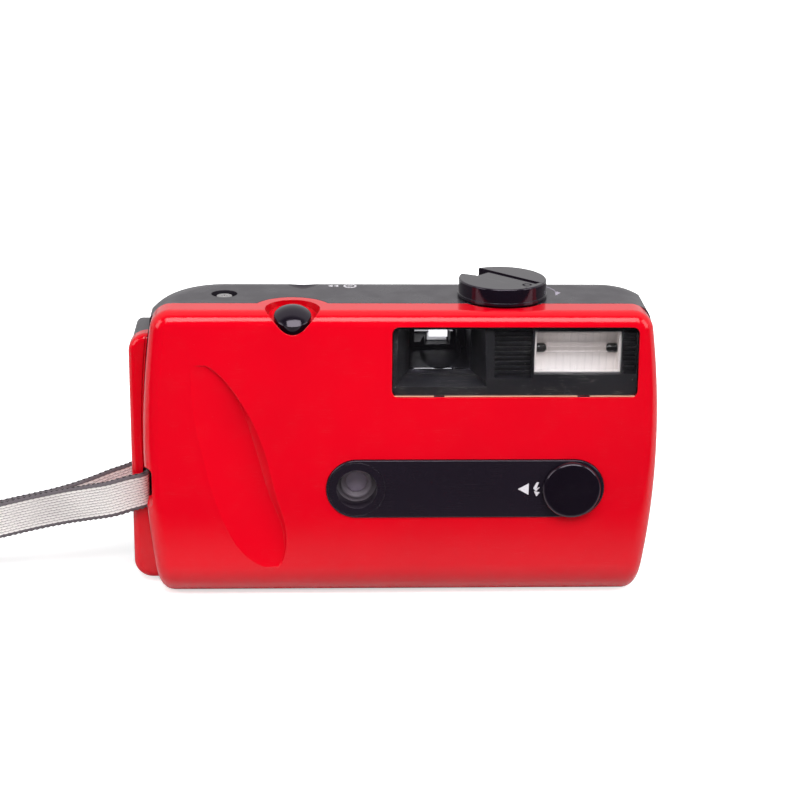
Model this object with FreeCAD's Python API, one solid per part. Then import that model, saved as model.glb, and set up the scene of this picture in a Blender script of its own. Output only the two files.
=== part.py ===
"""Compact 35 mm film camera, millimetres.

Frame: +Z up, the lens looks along -Y, +X is to the right when the camera is seen from the front. The
origin is the centre of the camera's footprint, on the surface that it stands on. The wrist strap reaches
out along -X.
"""

import FreeCAD, Part
import math
import os

V = FreeCAD.Vector
X_AXIS, Y_AXIS, Z_AXIS = V(1, 0, 0), V(0, 1, 0), V(0, 0, 1)

# Overall body
LENGTH = 117.4              # over the black side and the strap side piece
HEIGHT = 66.8
DEPTH = 39.0                # flash knob to eyepiece frame
WALL = 1.7                  # red front shell
REAR_WALL = 1.6             # black shells
EDGE_ROUND = 3.4            # front and lower side edges
TOP_CORNER = 4.6            # upper corners of the outline seen from the front
BOTTOM_ROUND = 9.0          # front edge of the underside
SIDE_BOW = 3.3              # how far the sides draw in at the foot
FACE_BOW_RADIUS = 372.0
PARTING_FROM_FRONT = 12.4   # joint line between red shell and black shells
SEAM = 0.15                 # gap along a visible joint line
SHOULDER_ROUND = 10.0       # rear edge of the top
PLAN_ROUND = 9.0            # rear corners seen from above
HEEL_ROUND = 3.0            # rear edge of the underside

# What stands out at the front and the rear
KNOB_PROUD = 1.5            # flash knob over the lens plate
PLATE_PROUD = 0.4           # lens plate over the red face
EYEPIECE_PROUD = 2.5        # eyepiece frame over the top cover's rear wall

FRONT = -DEPTH / 2
REAR = DEPTH / 2
PLATE_FRONT = FRONT + KNOB_PROUD
FACE_FRONT = PLATE_FRONT + PLATE_PROUD - 0.1
PARTING = FRONT + PARTING_FROM_FRONT
TOP_REAR = REAR - EYEPIECE_PROUD
FACE_MID = HEIGHT / 3       # height at which the face is furthest forward
SIDE_MID = HEIGHT * 0.54    # height at which the sides bow furthest out
SIDE_BOW_RADIUS = (SIDE_MID ** 2 + SIDE_BOW ** 2) / (2 * SIDE_BOW)

# Strap side piece and the black bulge behind it
SIDE_STEP = 3.5             # side piece beyond the red shell
RIGHT_STEP = 0.35           # black shell beyond the red shell on the right
SHELL_LEFT = -LENGTH / 2 + SIDE_STEP
SHELL_RIGHT = LENGTH / 2 - RIGHT_STEP
BULGE_STEP = 0.3            # side piece beyond the black bulge
BULGE_TOP = HEIGHT - 7.4
BULGE_SHOULDER = 12.0       # rear edge of the bulge's top
BULGE_PLAN_ROUND = 5.6
BULGE_REACH = 24.0          # how far the bulge reaches in behind the top cover's corner
SIDE_TOP = HEIGHT - 7.3
SIDE_FOOT = 1.2
SIDE_REAR = 2.4
SIDE_TOP_REAR = -3.0        # the side piece's rear edge at its top
SIDE_SLANT_FOOT = 38.0      # where its rear edge starts to slant forward
SIDE_ROUND = 4.2
SIDE_RIM = 1.6
SIDE_GROOVE_FROM = 0.75     # fine joint line on the side piece, from the shell's side
SIDE_GROOVE = 0.2
BAR_WIDTH = 2.6             # the bar that the strap goes round
STRAP_Z = 23.5
STRAP_GAP_HEIGHT = 9.6      # free height round the strap
STRAP_GAP = 1.9             # free depth on each side of the bar
STRAP_WIDTH = 8.4
STRAP_THICK = 1.1
STRAP_SAG = 1.6             # more room under the strap behind the bar
NOTCH_IN = 1.8              # hollow in the red shell's edge where the strap comes out
NOTCH_FOOT = STRAP_Z - 1.1
NOTCH_HEIGHT = 9.3
NOTCH_ROUND = 1.2
NOTCH_WALL = 1.2

# Round rear corners of the top cover: radius on the top face, and the corner's middle from the shell's side
LEFT_CORNER_R = 8.5
LEFT_CORNER_IN = 17.5
RIGHT_CORNER_R = 4.0
RIGHT_CORNER_IN = 11.5

# Chassis levels
TOP_ROOM = 15.4             # camera's top above the chassis
CEILING_THICK = 1.2
CEILING = HEIGHT - TOP_ROOM - CEILING_THICK
FLOOR_Z = 1.9
FLOOR_THICK = 1.4
FLOOR_TOP = FLOOR_Z + FLOOR_THICK
CHASSIS_GAP = 0.15          # chassis inside the shells
SPLIT = CEILING + CEILING_THICK - 0.9      # joint line between top cover and rear cover
FILM_PLANE = TOP_REAR - 2.5
GATE_WIDTH = 36.0
GATE_HEIGHT = 24.0
FILM_WIDTH = 35.0

# Cassette bay and rewind
REWIND_FROM_RIGHT = 34.15   # rewind axis from the shell's right side
REWIND_AHEAD = 15.3         # rewind axis in front of the film
REWIND_X = SHELL_RIGHT - REWIND_FROM_RIGHT
REWIND_Y = FILM_PLANE - REWIND_AHEAD
CASSETTE_R = 12.7
BAY_WALL = 1.0
REWIND_KNOB_R = 9.75
REWIND_KNOB_HEIGHT = 3.2
REWIND_FLANGE_R = 9.95
REWIND_FLANGE_HEIGHT = 0.6
REWIND_SEAT = 0.3           # flange above the top cover
REWIND_LIFT = 6.0
REWIND_SHAFT_R = 2.0
KNOB_FOOT = HEIGHT + REWIND_SEAT
KNOB_TOP = KNOB_FOOT + REWIND_FLANGE_HEIGHT + REWIND_KNOB_HEIGHT
FORK_FOOT = CEILING - 4.6
GUIDE_R = REWIND_SHAFT_R + 1.45     # tube that the rewind collar slides in
GUIDE_WALL = 0.9
GUIDE_TOP = HEIGHT - 4.6
GUIDE_FOOT = CEILING + CEILING_THICK + 1.6
COLLAR_THICK = 1.6
COLLAR_FOOT = GUIDE_TOP - REWIND_LIFT - COLLAR_THICK - 0.3
STOP_THICK = 0.6

# Fold-out crank in the rewind knob's top
CRANK_WIDTH = 5.3
CRANK_THICK = 1.3
CRANK_SINK = 0.3            # folded crank below the knob's top
CRANK_ANGLE = -44.3         # crank seen from above, from +X
CRANK_OFFSET = 0.15
CRANK_LONG = 7.4            # crank pin from the knob's centre
CRANK_FREE = 5.8            # free end from the knob's centre, on the other side
CRANK_PIN_R = 0.4
CRANK_CLEAR = 0.1
CRANK_ROOM = 1.0            # bed beyond the crank pin
CRANK_RING = 6.9            # small ring mark from the knob's centre
CRANK_RING_R = 1.1
FINGER_DEPTH = 2.7          # notch at the crank's free end
FINGER_FLARE = 2.0
RIM_GROOVE = 0.14           # fine lines from the crank's root to the knob's rim
CRANK_WAY = V(math.cos(math.radians(CRANK_ANGLE)), math.sin(math.radians(CRANK_ANGLE)), 0)
CRANK_SIDE = V(-CRANK_WAY.y, CRANK_WAY.x, 0)

# Lens, lens plate and shutter
LENS_FROM_REWIND = 32.5
LENS_X = REWIND_X - LENS_FROM_REWIND
LENS_Z = (FLOOR_TOP + CEILING) / 2 + 0.45
PLATE_LENGTH = 61.6
PLATE_HEIGHT = 13.5
PLATE_THICK = 1.3
PLATE_GAP = 0.1
LENS_HOLE_R = 4.5
LENS_RECESS = 4.0
LENS_RING_R = 3.5
LENS_R = 2.4
BARREL_R = 5.3
PLATE_LEFT = LENS_X - PLATE_HEIGHT / 2
PLATE_RIGHT = PLATE_LEFT + PLATE_LENGTH
SHUTTER_REAR = FRONT + 13.1
SHUTTER_PLATE = 0.9
SHUTTER_HALF = 10.0
BLADE_SPACE = 0.9
BLADE_X = LENS_X + 6.0
BLADE_Z = LENS_Z + 5.0
BLADE_SWING = 24.0

# Flash switch
SWITCH_R = 6.5
SWITCH_INSET = 7.3          # knob centre from the plate's right end
SWITCH_TRAVEL = 4.5
SWITCH_STEM = 2.4
SWITCH_X = PLATE_RIGHT - SWITCH_INSET
SWITCH_CLIP_Y = PLATE_FRONT + PLATE_THICK + 1.1 + 0.1

# Window for finder and flash
WINDOW_LENGTH = 53.75
WINDOW_HEIGHT = 15.4
WINDOW_FROM_RIGHT = 5.3     # right end of the window from the shell's right side
WINDOW_FROM_TOP = 3.1
WINDOW_ROUND = 1.4
WINDOW_THICK = 1.2
WINDOW_GAP = 0.1
WINDOW_RIGHT = SHELL_RIGHT - WINDOW_FROM_RIGHT
WINDOW_LEFT = WINDOW_RIGHT - WINDOW_LENGTH
WINDOW_TOP = HEIGHT - WINDOW_FROM_TOP
WINDOW_FOOT = WINDOW_TOP - WINDOW_HEIGHT
FINDER_WIDTH = 13.7
FINDER_HEIGHT = 9.4
FINDER_FROM_LEFT = 3.9      # finder lens from the window's left end
FINDER_FLOOR = 3.7          # finder lens above the window's foot
FINDER_X = WINDOW_LEFT + FINDER_FROM_LEFT + FINDER_WIDTH / 2
FINDER_Z = WINDOW_FOOT + FINDER_FLOOR + FINDER_HEIGHT / 2
FINDER_FACE = FRONT + 11.5
FRAME_REAR = FRONT + 12.9
FRAME_SIDE = 1.1            # frame beyond the window's ends
SKIRT_FRONT = WINDOW_THICK + 0.12
SKIRT_REAR = REWIND_Y - CASSETTE_R - BAY_WALL - 0.3
FUNNEL_FOOT = WINDOW_FOOT + 1.7
EYEPIECE_WIDTH = 11.0
EYEPIECE_HEIGHT = 8.4
EYEPIECE_RIM = 1.4
BLOCK_WIDTH = 9.4           # dark ribbed block between finder and flash
RIB_PITCH = 1.1
RIB_HEIGHT = 0.5

# Flash
FLASH_WIDTH = 19.0
FLASH_HEIGHT = 9.3
FLASH_FROM_RIGHT = 3.65
FLASH_FLOOR = 4.9
FLASH_DEPTH = 4.6
FLASH_MOUTH = FRONT + 6.4
FLASH_RIGHT = WINDOW_RIGHT - FLASH_FROM_RIGHT
FLASH_LEFT = FLASH_RIGHT - FLASH_WIDTH
FLASH_Z = WINDOW_FOOT + FLASH_FLOOR + FLASH_HEIGHT / 2
FLASH_TUBE_R = 1.1
FLASH_TUBE_BACK = 1.9       # tube's axis in front of the reflector's bottom
FLASH_PRISMS = 12
BOARD_Y = FRAME_REAR + 2.2
BOARD_THICK = 1.0
BOARD_FROM_REWIND = 5.0
BOARD_FROM_RIGHT = 4.9
CAPACITOR_R = 5.1
CAPACITOR_LENGTH = 22.0
CAPACITOR_FROM_REWIND = 6.0
CAPACITOR_AHEAD = 8.6       # capacitor's axis in front of the top cover's rear wall
COIL_FROM_REWIND = 20.0
COIL_LENGTH = 6.0
CORE_FROM_REWIND = 10.0
CORE_LENGTH = 7.0
CORE_DEPTH = 5.6
CORE_HEIGHT = 6.0

# Shutter button and its well in the red shell
BUTTON_X = LENS_X - 14.1
BUTTON_R = 4.05
BUTTON_TILT = 22.0
BUTTON_TRAVEL = 1.2
BUTTON_DOME = 1.5
BUTTON_GAP = 0.15
BUTTON_SINK = 2.4           # button's pocket below the well's floor
BUTTON_RISE = 2.7           # button's rim above the well's floor
BUTTON_STEM_R = 1.3
SKIRT_FOOT = -BUTTON_SINK + BUTTON_TRAVEL + 0.4    # button skirt's foot from the well's floor
WELL_R = 6.0
TONGUE_R = 8.7              # red tongue round the well
TONGUE_REACH = 4.74         # tongue behind the joint line
WELL_BACK = 9.85            # well centre behind the shell's front
WELL_DROP = 3.35            # well floor centre below the top
TILT = math.radians(BUTTON_TILT)
BUTTON_AXIS = V(0, -math.sin(TILT), math.cos(TILT))
WELL_CENTRE = V(BUTTON_X, FRONT + WELL_BACK, HEIGHT - WELL_DROP)
BUTTON_CENTRE = WELL_CENTRE + V(0, -math.cos(TILT), -math.sin(TILT)) * 1.35

# Ready lamp in its shallow dish
LAMP_X = BUTTON_X + 2.2
LAMP_Y = PARTING + 12.6
LAMP_R = 1.25
DISH_R = 6.0
DISH_DEPTH = 1.4
DISH_BACK = 3.4             # dish's middle behind the lamp
DISH_WALL = 1.1

# Film transport
SPROCKET_TEETH = 8
PERFORATION_PITCH = 4.75
PERFORATION_ROW = 14.1      # perforation rows above and below the film's middle
SPROCKET_R = SPROCKET_TEETH * PERFORATION_PITCH / (2 * math.pi)
SPROCKET_FROM_LENS = 22.7
SPROCKET_X = LENS_X - SPROCKET_FROM_LENS
SPROCKET_Y = FILM_PLANE - SPROCKET_R
GEAR_MODULE = 0.8
WHEEL_TEETH = 13
IDLER_TEETH = 10
SPOOL_TEETH = 14
GEAR_THICK = 1.2
SPOOL_AHEAD = 9.9           # take-up spool in front of the sprocket
SPOOL_BESIDE = 14.06        # take-up spool to the left of the sprocket
SPOOL_X = SPROCKET_X - SPOOL_BESIDE
SPOOL_Y = SPROCKET_Y - SPOOL_AHEAD
SPOOL_R = 6.0
SPOOL_CORE_R = 3.2
SPOOL_BAY_R = 7.9
WHEEL_R = 8.7
WHEEL_THICK = 3.6
WHEEL_NOTCHES = 40
SHAFT_R = 1.2
SHAFT_GAP = 0.05            # running clearance of shafts, on the radius
GEAR_FOOT = CEILING + CEILING_THICK + 0.2
WHEEL_FOOT = GEAR_FOOT + GEAR_THICK + 0.4
DIAL_R = 5.4
DIAL_X = SPROCKET_X + 18.5
DIAL_Y = TOP_REAR - 7.4

# The idler sits behind the line from sprocket to spool, in mesh with both gears
WHEEL_TO_IDLER = GEAR_MODULE * (WHEEL_TEETH + IDLER_TEETH) / 2
SPOOL_TO_IDLER = GEAR_MODULE * (SPOOL_TEETH + IDLER_TEETH) / 2
CENTRES = math.hypot(SPOOL_AHEAD, SPOOL_BESIDE)
ALONG = (WHEEL_TO_IDLER ** 2 - SPOOL_TO_IDLER ** 2 + CENTRES ** 2) / (2 * CENTRES)
ASIDE = math.sqrt(WHEEL_TO_IDLER ** 2 - ALONG ** 2)
IDLER_X = SPROCKET_X - (ALONG * SPOOL_BESIDE + ASIDE * SPOOL_AHEAD) / CENTRES
IDLER_Y = SPROCKET_Y - (ALONG * SPOOL_AHEAD - ASIDE * SPOOL_BESIDE) / CENTRES
WHEEL_PHASE = math.atan2(IDLER_Y - SPROCKET_Y, IDLER_X - SPROCKET_X)
IDLER_STEP = 2 * math.pi / IDLER_TEETH
IDLER_PHASE = WHEEL_PHASE + math.pi + IDLER_STEP / 2
SPOOL_ANGLE = math.atan2(SPOOL_Y - IDLER_Y, SPOOL_X - IDLER_X)
IDLER_SHIFT = (IDLER_PHASE - SPOOL_ANGLE + IDLER_STEP / 2) % IDLER_STEP - IDLER_STEP / 2
SPOOL_PHASE = SPOOL_ANGLE + math.pi + math.pi / SPOOL_TEETH - IDLER_SHIFT * IDLER_TEETH / SPOOL_TEETH

# Battery bay: two small round cells, side by side
CELL_LENGTH = 44.5
CELL_R = 5.25
BAY_CLEAR = 0.2
BATTERY_WALL = 0.6
BATTERY_FROM_RIGHT = 12.15  # battery axis from the shell's right side
BATTERY_DOOR_THICK = 1.4
BATTERY_DOOR_ABOVE = 0.2    # door's outer face above the foot
CONTACT_THICK = 0.4
BATTERY_X = SHELL_RIGHT - BATTERY_FROM_RIGHT
BAY_REAR = TOP_REAR - REAR_WALL - CHASSIS_GAP - BATTERY_WALL
BAY_FRONT = BAY_REAR - 4 * CELL_R - 3 * BAY_CLEAR
BAY_HALF = CELL_R + BAY_CLEAR
BAY_TOP = BATTERY_DOOR_ABOVE + BATTERY_DOOR_THICK + CELL_LENGTH + 3 * CONTACT_THICK + 0.6
BATTERY_DOOR_FRONT = PARTING + SEAM + 0.15
BARREL_HALF = 0.65
BARREL_PIN_R = 0.4
BARREL_CLEAR = 0.35
HINGE_NOTCH = 2.0           # plate cut away at both ends of the hinge
BATTERY_HINGE_X = BATTERY_X + BAY_HALF + 0.75
BATTERY_HINGE_Z = BATTERY_DOOR_ABOVE + BATTERY_DOOR_THICK / 2

# Back door, its hinge and its latch
DOOR_LEFT_FROM_SIDE = 4.0
DOOR_FROM_BAY = 0.7         # door beyond the cassette bay's wall
DOOR_FOOT = 3.4
DOOR_TOP = CEILING - 0.8
DOOR_WALL = 1.5
DOOR_BULGE = 1.7            # door beyond the rear shell's rear face
DOOR_GAP = 0.25
DOOR_FACE = TOP_REAR + DOOR_BULGE
DOOR_LEFT = SHELL_LEFT + DOOR_LEFT_FROM_SIDE
DOOR_RIGHT = REWIND_X + CASSETTE_R + BAY_WALL + DOOR_FROM_BAY
DOOR_WINDOW_WIDTH = 5.0
DOOR_WINDOW_HEIGHT = 17.0
HINGE_R = 1.6
HINGE_PIN_R = 0.8
HINGE_X = DOOR_LEFT - 1.8
HINGE_Y = TOP_REAR
LATCH_Z = LENS_Z - 1.2
LATCH_HEIGHT = 11.0
LATCH_LENGTH = 7.4
LATCH_TRAVEL = 3.0
LATCH_THICK = 0.8

# Pressure plate and its leaf spring
PLATE_SIDE = 25.0           # pressure plate to the right of the lens axis
SPROCKET_CLEAR = 3.7        # pressure plate's left end from the sprocket's axis
PRESS_THICK = 0.9
PRESS_GAP = 0.3
PRESS_TRAVEL = 0.5
LEAF_HALF = 15.0
LEAF_THICK = 0.25
LEAF_WIDTH = 7.0

# Fasteners and underside
SCREW_R = 0.85
SCREW_HEAD_R = 1.7
SCREW_HEAD = 0.9
SCREW_SEAT = 1.4            # underside screw heads sit this far above the foot
POST_WALL = 0.4
FLOOR_SCREWS = [(SPROCKET_X, PARTING + 4.1), (BATTERY_X - 7.45, PARTING + 15.1)]
RECESS_R = 2.9
RECESS_DEPTH = 1.35
RECESS_X = SHELL_LEFT + 17.6
RECESS_Y = PARTING + 7.5
TRIPOD_R = 3.175
TRIPOD_OUTER_R = 5.0
TRIPOD_DEPTH = 7.0
TRIPOD_X = LENS_X + 11.9
TRIPOD_Y = PARTING + 6.5
RELEASE_X = SPROCKET_X + 11.0
RELEASE_Y = PARTING + 12.1
RELEASE_R = 2.0
RELEASE_ABOVE = 0.4
RELEASE_TRAVEL = 1.2
RELEASE_POCKET = 6.8

# Finger scoop, one level section per row: height as a share of the camera's, left and right edge from the
# shell's left side, width of the steep right wall, depth
SCOOP = [
    (0.828, 10.6, 14.0, 0.06, 0.12),
    (0.787, 10.0, 17.5, 0.15, 0.60),
    (0.710, 10.4, 21.3, 0.45, 1.15),
    (0.650, 11.0, 23.6, 1.20, 1.60),
    (0.590, 11.8, 25.35, 1.75, 1.90),
    (0.509, 13.0, 27.1, 1.90, 2.00),
    (0.382, 15.0, 29.1, 1.60, 1.95),
    (0.293, 17.0, 30.85, 1.05, 1.70),
    (0.240, 18.4, 31.35, 0.65, 1.40),
    (0.172, 21.2, 31.0, 0.30, 0.80),
    (0.126, 25.6, 29.6, 0.10, 0.15),
]
SCOOP_BACKING = 1.3
SCOOP_BACKING_TOP = 0.73    # share of the camera's height


def box(x0, x1, y0, y1, z0, z1):
    return Part.makeBox(x1 - x0, y1 - y0, z1 - z0, V(x0, y0, z0))


def rod(x, y, z, radius, length, axis=Z_AXIS):
    return Part.makeCylinder(radius, length, V(x, y, z), axis)


def ring(x, y, z, outer, inner, length, axis=Z_AXIS):
    return rod(x, y, z, outer, length, axis).cut(rod(x, y, z, inner, length, axis))


def fused(shapes):
    whole = shapes[0].multiFuse(shapes[1:]) if len(shapes) > 1 else shapes[0]
    return whole.removeSplitter()


def without(shape, *tools):
    for tool in tools:
        shape = shape.cut(tool)
    return shape


def arc(first, middle, last):
    return Part.Arc(first, middle, last).toShape()


def line(first, last):
    return Part.LineSegment(first, last).toShape()


def prism(edges, along):
    return Part.Face(Part.Wire(edges)).extrude(along)


def rounded_plate(x0, x1, z0, z1, radius, y0, y1):
    """A plate in the XZ plane with round corners, from y0 to y1."""
    plate = box(x0, x1, y0, y1, z0, z1)
    uprights = [e for e in plate.Edges if abs(e.tangentAt(e.FirstParameter).y) > 0.9]
    return plate.makeFillet(radius, uprights)


def slot_plate(x0, x1, z_mid, radius, y0, y1):
    """A plate with half-round ends, from x0 to x1."""
    middle = box(x0 + radius, x1 - radius, y0, y1, z_mid - radius, z_mid + radius)
    ends = [rod(x, y0, z_mid, radius, y1 - y0, Y_AXIS) for x in (x0 + radius, x1 - radius)]
    return fused([middle] + ends)


def face_y(z):
    """Where the red face lies at a height."""
    return FACE_FRONT + FACE_BOW_RADIUS - math.sqrt(FACE_BOW_RADIUS ** 2 - (z - FACE_MID) ** 2)


def side_x(z, right, inset=0.0):
    """Where a side of the shell lies at a height."""
    radius = SIDE_BOW_RADIUS - inset
    sag = radius - math.sqrt(radius ** 2 - (z - SIDE_MID) ** 2)
    return SHELL_RIGHT - inset - sag if right else SHELL_LEFT + inset + sag


def corner_radius(full, inset):
    """A corner's radius on a form drawn in by inset."""
    return full - inset if inset < full - 0.5 else 0.5


def outline_prism(inset, y0, y1, round_corners, widen=0.0):
    """The camera's outline seen from the front, extruded from y0 to y1."""
    low, high = inset, HEIGHT - inset
    left = [V(side_x(z, False, inset) - widen, y0, z) for z in (low, SIDE_MID, high)]
    right = [V(side_x(z, True, inset) + widen, y0, z) for z in (low, SIDE_MID, high)]
    edges = [arc(*left), line(left[2], right[2]), arc(right[2], right[1], right[0]), line(right[0], left[0])]
    body = prism(edges, V(0, y1 - y0, 0))
    if not round_corners:
        return body
    body = body.makeFillet(corner_radius(TOP_CORNER, inset), outline_corners(body, True))
    return body.makeFillet(corner_radius(EDGE_ROUND, inset), outline_corners(body, False))


def outline_corners(body, upper):
    """The corner edges that run from front to rear, at the top or at the foot."""
    along = [e for e in body.Edges if abs(e.tangentAt(e.FirstParameter).y) > 0.99]
    if upper:
        return [e for e in along if e.CenterOfMass.z > HEIGHT / 2]
    return [e for e in along if e.CenterOfMass.z < HEIGHT / 2]


def front_blank(inset, rear):
    """The red shell's solid form, drawn in by inset on every side."""
    radius = FACE_BOW_RADIUS - inset
    low, high = inset, HEIGHT - inset
    centre = V(0, FACE_FRONT + FACE_BOW_RADIUS, FACE_MID)
    bend = BOTTOM_ROUND - inset
    bend_z = low + bend
    bend_y = centre.y - math.sqrt((radius - bend) ** 2 - (FACE_MID - bend_z) ** 2)
    bend_centre = V(0, bend_y, bend_z)
    outward = (bend_centre - centre).normalize()
    tangent = centre + outward * radius

    def on_face(z):
        return V(0, centre.y - math.sqrt(radius ** 2 - (z - FACE_MID) ** 2), z)

    low_tangent = V(0, bend_y, low)
    half_way = bend_centre + (outward + V(0, 0, -1)).normalize() * bend
    top = on_face(high)
    profile = [
        line(V(0, rear, low), low_tangent),
        arc(low_tangent, half_way, tangent),
        arc(tangent, on_face((tangent.z + high) / 2), top),
        line(top, V(0, rear, high)),
        line(V(0, rear, high), V(0, rear, low)),
    ]
    body = prism(profile, V(2 * LENGTH, 0, 0))
    body.translate(V(-LENGTH, 0, 0))
    body = body.common(outline_prism(inset, FRONT - 5, rear, False))
    body = body.makeFillet(corner_radius(TOP_CORNER, inset), outline_corners(body, True))
    smooth = outline_corners(body, True)
    sharp = [e for e in body.Edges if not all(abs(v.Y - rear) < 1e-6 for v in e.Vertexes)
             and not any(e.isSame(s) for s in smooth)
             and not (abs(e.tangentAt(e.FirstParameter).x) > 0.99 and e.CenterOfMass.z < HEIGHT / 2)]
    return body.makeFillet(corner_radius(EDGE_ROUND, inset), sharp)


def corner_form(x, radius, out, inset):
    """The round form that a rear corner of the top cover follows, outward of x."""
    y = TOP_REAR - SHOULDER_ROUND - radius
    shoulder = SHOULDER_ROUND - inset
    high = HEIGHT - inset
    turn = math.sqrt(0.5)
    wall = x + out * (radius + shoulder)
    foot = SPLIT - 2
    edges = [
        line(V(x, y, foot), V(wall, y, foot)),
        line(V(wall, y, foot), V(wall, y, high - shoulder)),
        arc(V(wall, y, high - shoulder),
            V(x + out * (radius + shoulder * turn), y, high - shoulder + shoulder * turn),
            V(x + out * radius, y, high)),
        line(V(x + out * radius, y, high), V(x, y, high)),
        line(V(x, y, high), V(x, y, foot)),
    ]
    section = Part.Face(Part.Wire(edges))
    quarter = section.revolve(V(x, y, 0), Z_AXIS, 90 * out)
    straight = section.extrude(V(0, PARTING - 5 - y, 0))
    return quarter.fuse(straight)


def rear_blank(inset, widen=0.0):
    """The black shells' solid form behind the joint line, drawn in by inset."""
    low, high = inset, HEIGHT - inset
    back = TOP_REAR - inset
    shoulder = SHOULDER_ROUND - inset
    heel = HEEL_ROUND - min(inset, 2.0)
    turn = math.sqrt(0.5)
    profile = [
        line(V(0, PARTING - 4, low), V(0, back - heel, low)),
        arc(V(0, back - heel, low), V(0, back - heel + heel * turn, low + heel - heel * turn),
            V(0, back, low + heel)),
        line(V(0, back, low + heel), V(0, back, high - shoulder)),
        arc(V(0, back, high - shoulder),
            V(0, back - shoulder + shoulder * turn, high - shoulder + shoulder * turn),
            V(0, back - shoulder, high)),
        line(V(0, back - shoulder, high), V(0, PARTING - 4, high)),
        line(V(0, PARTING - 4, high), V(0, PARTING - 4, low)),
    ]
    body = prism(profile, V(2 * LENGTH, 0, 0))
    body.translate(V(-LENGTH, 0, 0))
    body = body.common(outline_prism(inset, PARTING - 4, REAR + 5, True, widen))
    left, right = SHELL_LEFT + inset - widen, SHELL_RIGHT - inset + widen
    plan = box(left, right, PARTING - 4, back, -1, HEIGHT + 1)
    uprights = [e for e in plan.Edges if abs(e.tangentAt(e.FirstParameter).z) > 0.99
                and e.CenterOfMass.y > 0]
    body = body.common(plan.makeFillet(PLAN_ROUND - inset, uprights))
    left_x, right_x = SHELL_LEFT + LEFT_CORNER_IN, SHELL_RIGHT - RIGHT_CORNER_IN
    left_room = box(-LENGTH, left_x, PARTING - 4, REAR + 5, SPLIT, HEIGHT + 1)
    right_room = box(right_x, LENGTH, PARTING - 4, REAR + 5, SPLIT, HEIGHT + 1)
    return without(body, left_room.cut(corner_form(left_x, LEFT_CORNER_R, -1, inset)),
                   right_room.cut(corner_form(right_x, RIGHT_CORNER_R, 1, inset)))


def well_cut():
    return Part.makeCylinder(WELL_R, 12, WELL_CENTRE, BUTTON_AXIS)


def tongue(extra=0.0):
    """The red tongue that reaches back round the well."""
    middle = V(BUTTON_X, PARTING + TONGUE_REACH - TONGUE_R, HEIGHT - WALL - 4)
    return Part.makeCylinder(TONGUE_R + extra, 8, middle)


def window_opening(extra, y0=FRONT - 3, y1=FACE_FRONT + 9):
    return rounded_plate(WINDOW_LEFT - extra, WINDOW_RIGHT + extra, WINDOW_FOOT - extra,
                         WINDOW_TOP + extra, WINDOW_ROUND + extra, y0, y1)


def strap_gap():
    """The free space that the strap takes round the bar, in front of it, beside it and behind it."""
    z0, z1 = STRAP_Z - STRAP_GAP_HEIGHT / 2, STRAP_Z + STRAP_GAP_HEIGHT / 2
    inner = SHELL_LEFT - SIDE_STEP + BAR_WIDTH
    gap = box(-LENGTH, inner + STRAP_GAP, PARTING - STRAP_GAP, SIDE_REAR + STRAP_GAP, z0, z1)
    below = box(-LENGTH, inner + STRAP_GAP, SIDE_REAR, SIDE_REAR + STRAP_GAP, z0 - STRAP_SAG, z1)
    bar = box(-LENGTH, inner, PARTING + SEAM, SIDE_REAR, z0 - 3, z1 + 1)
    return gap.fuse(below).cut(bar)


def strap_notch():
    """The hollow in the red shell's left edge, just above the strap."""
    return rounded_plate(-LENGTH, SHELL_LEFT + NOTCH_IN, NOTCH_FOOT, NOTCH_FOOT + NOTCH_HEIGHT,
                         NOTCH_ROUND, FRONT - 2, PARTING + 1)


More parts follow.
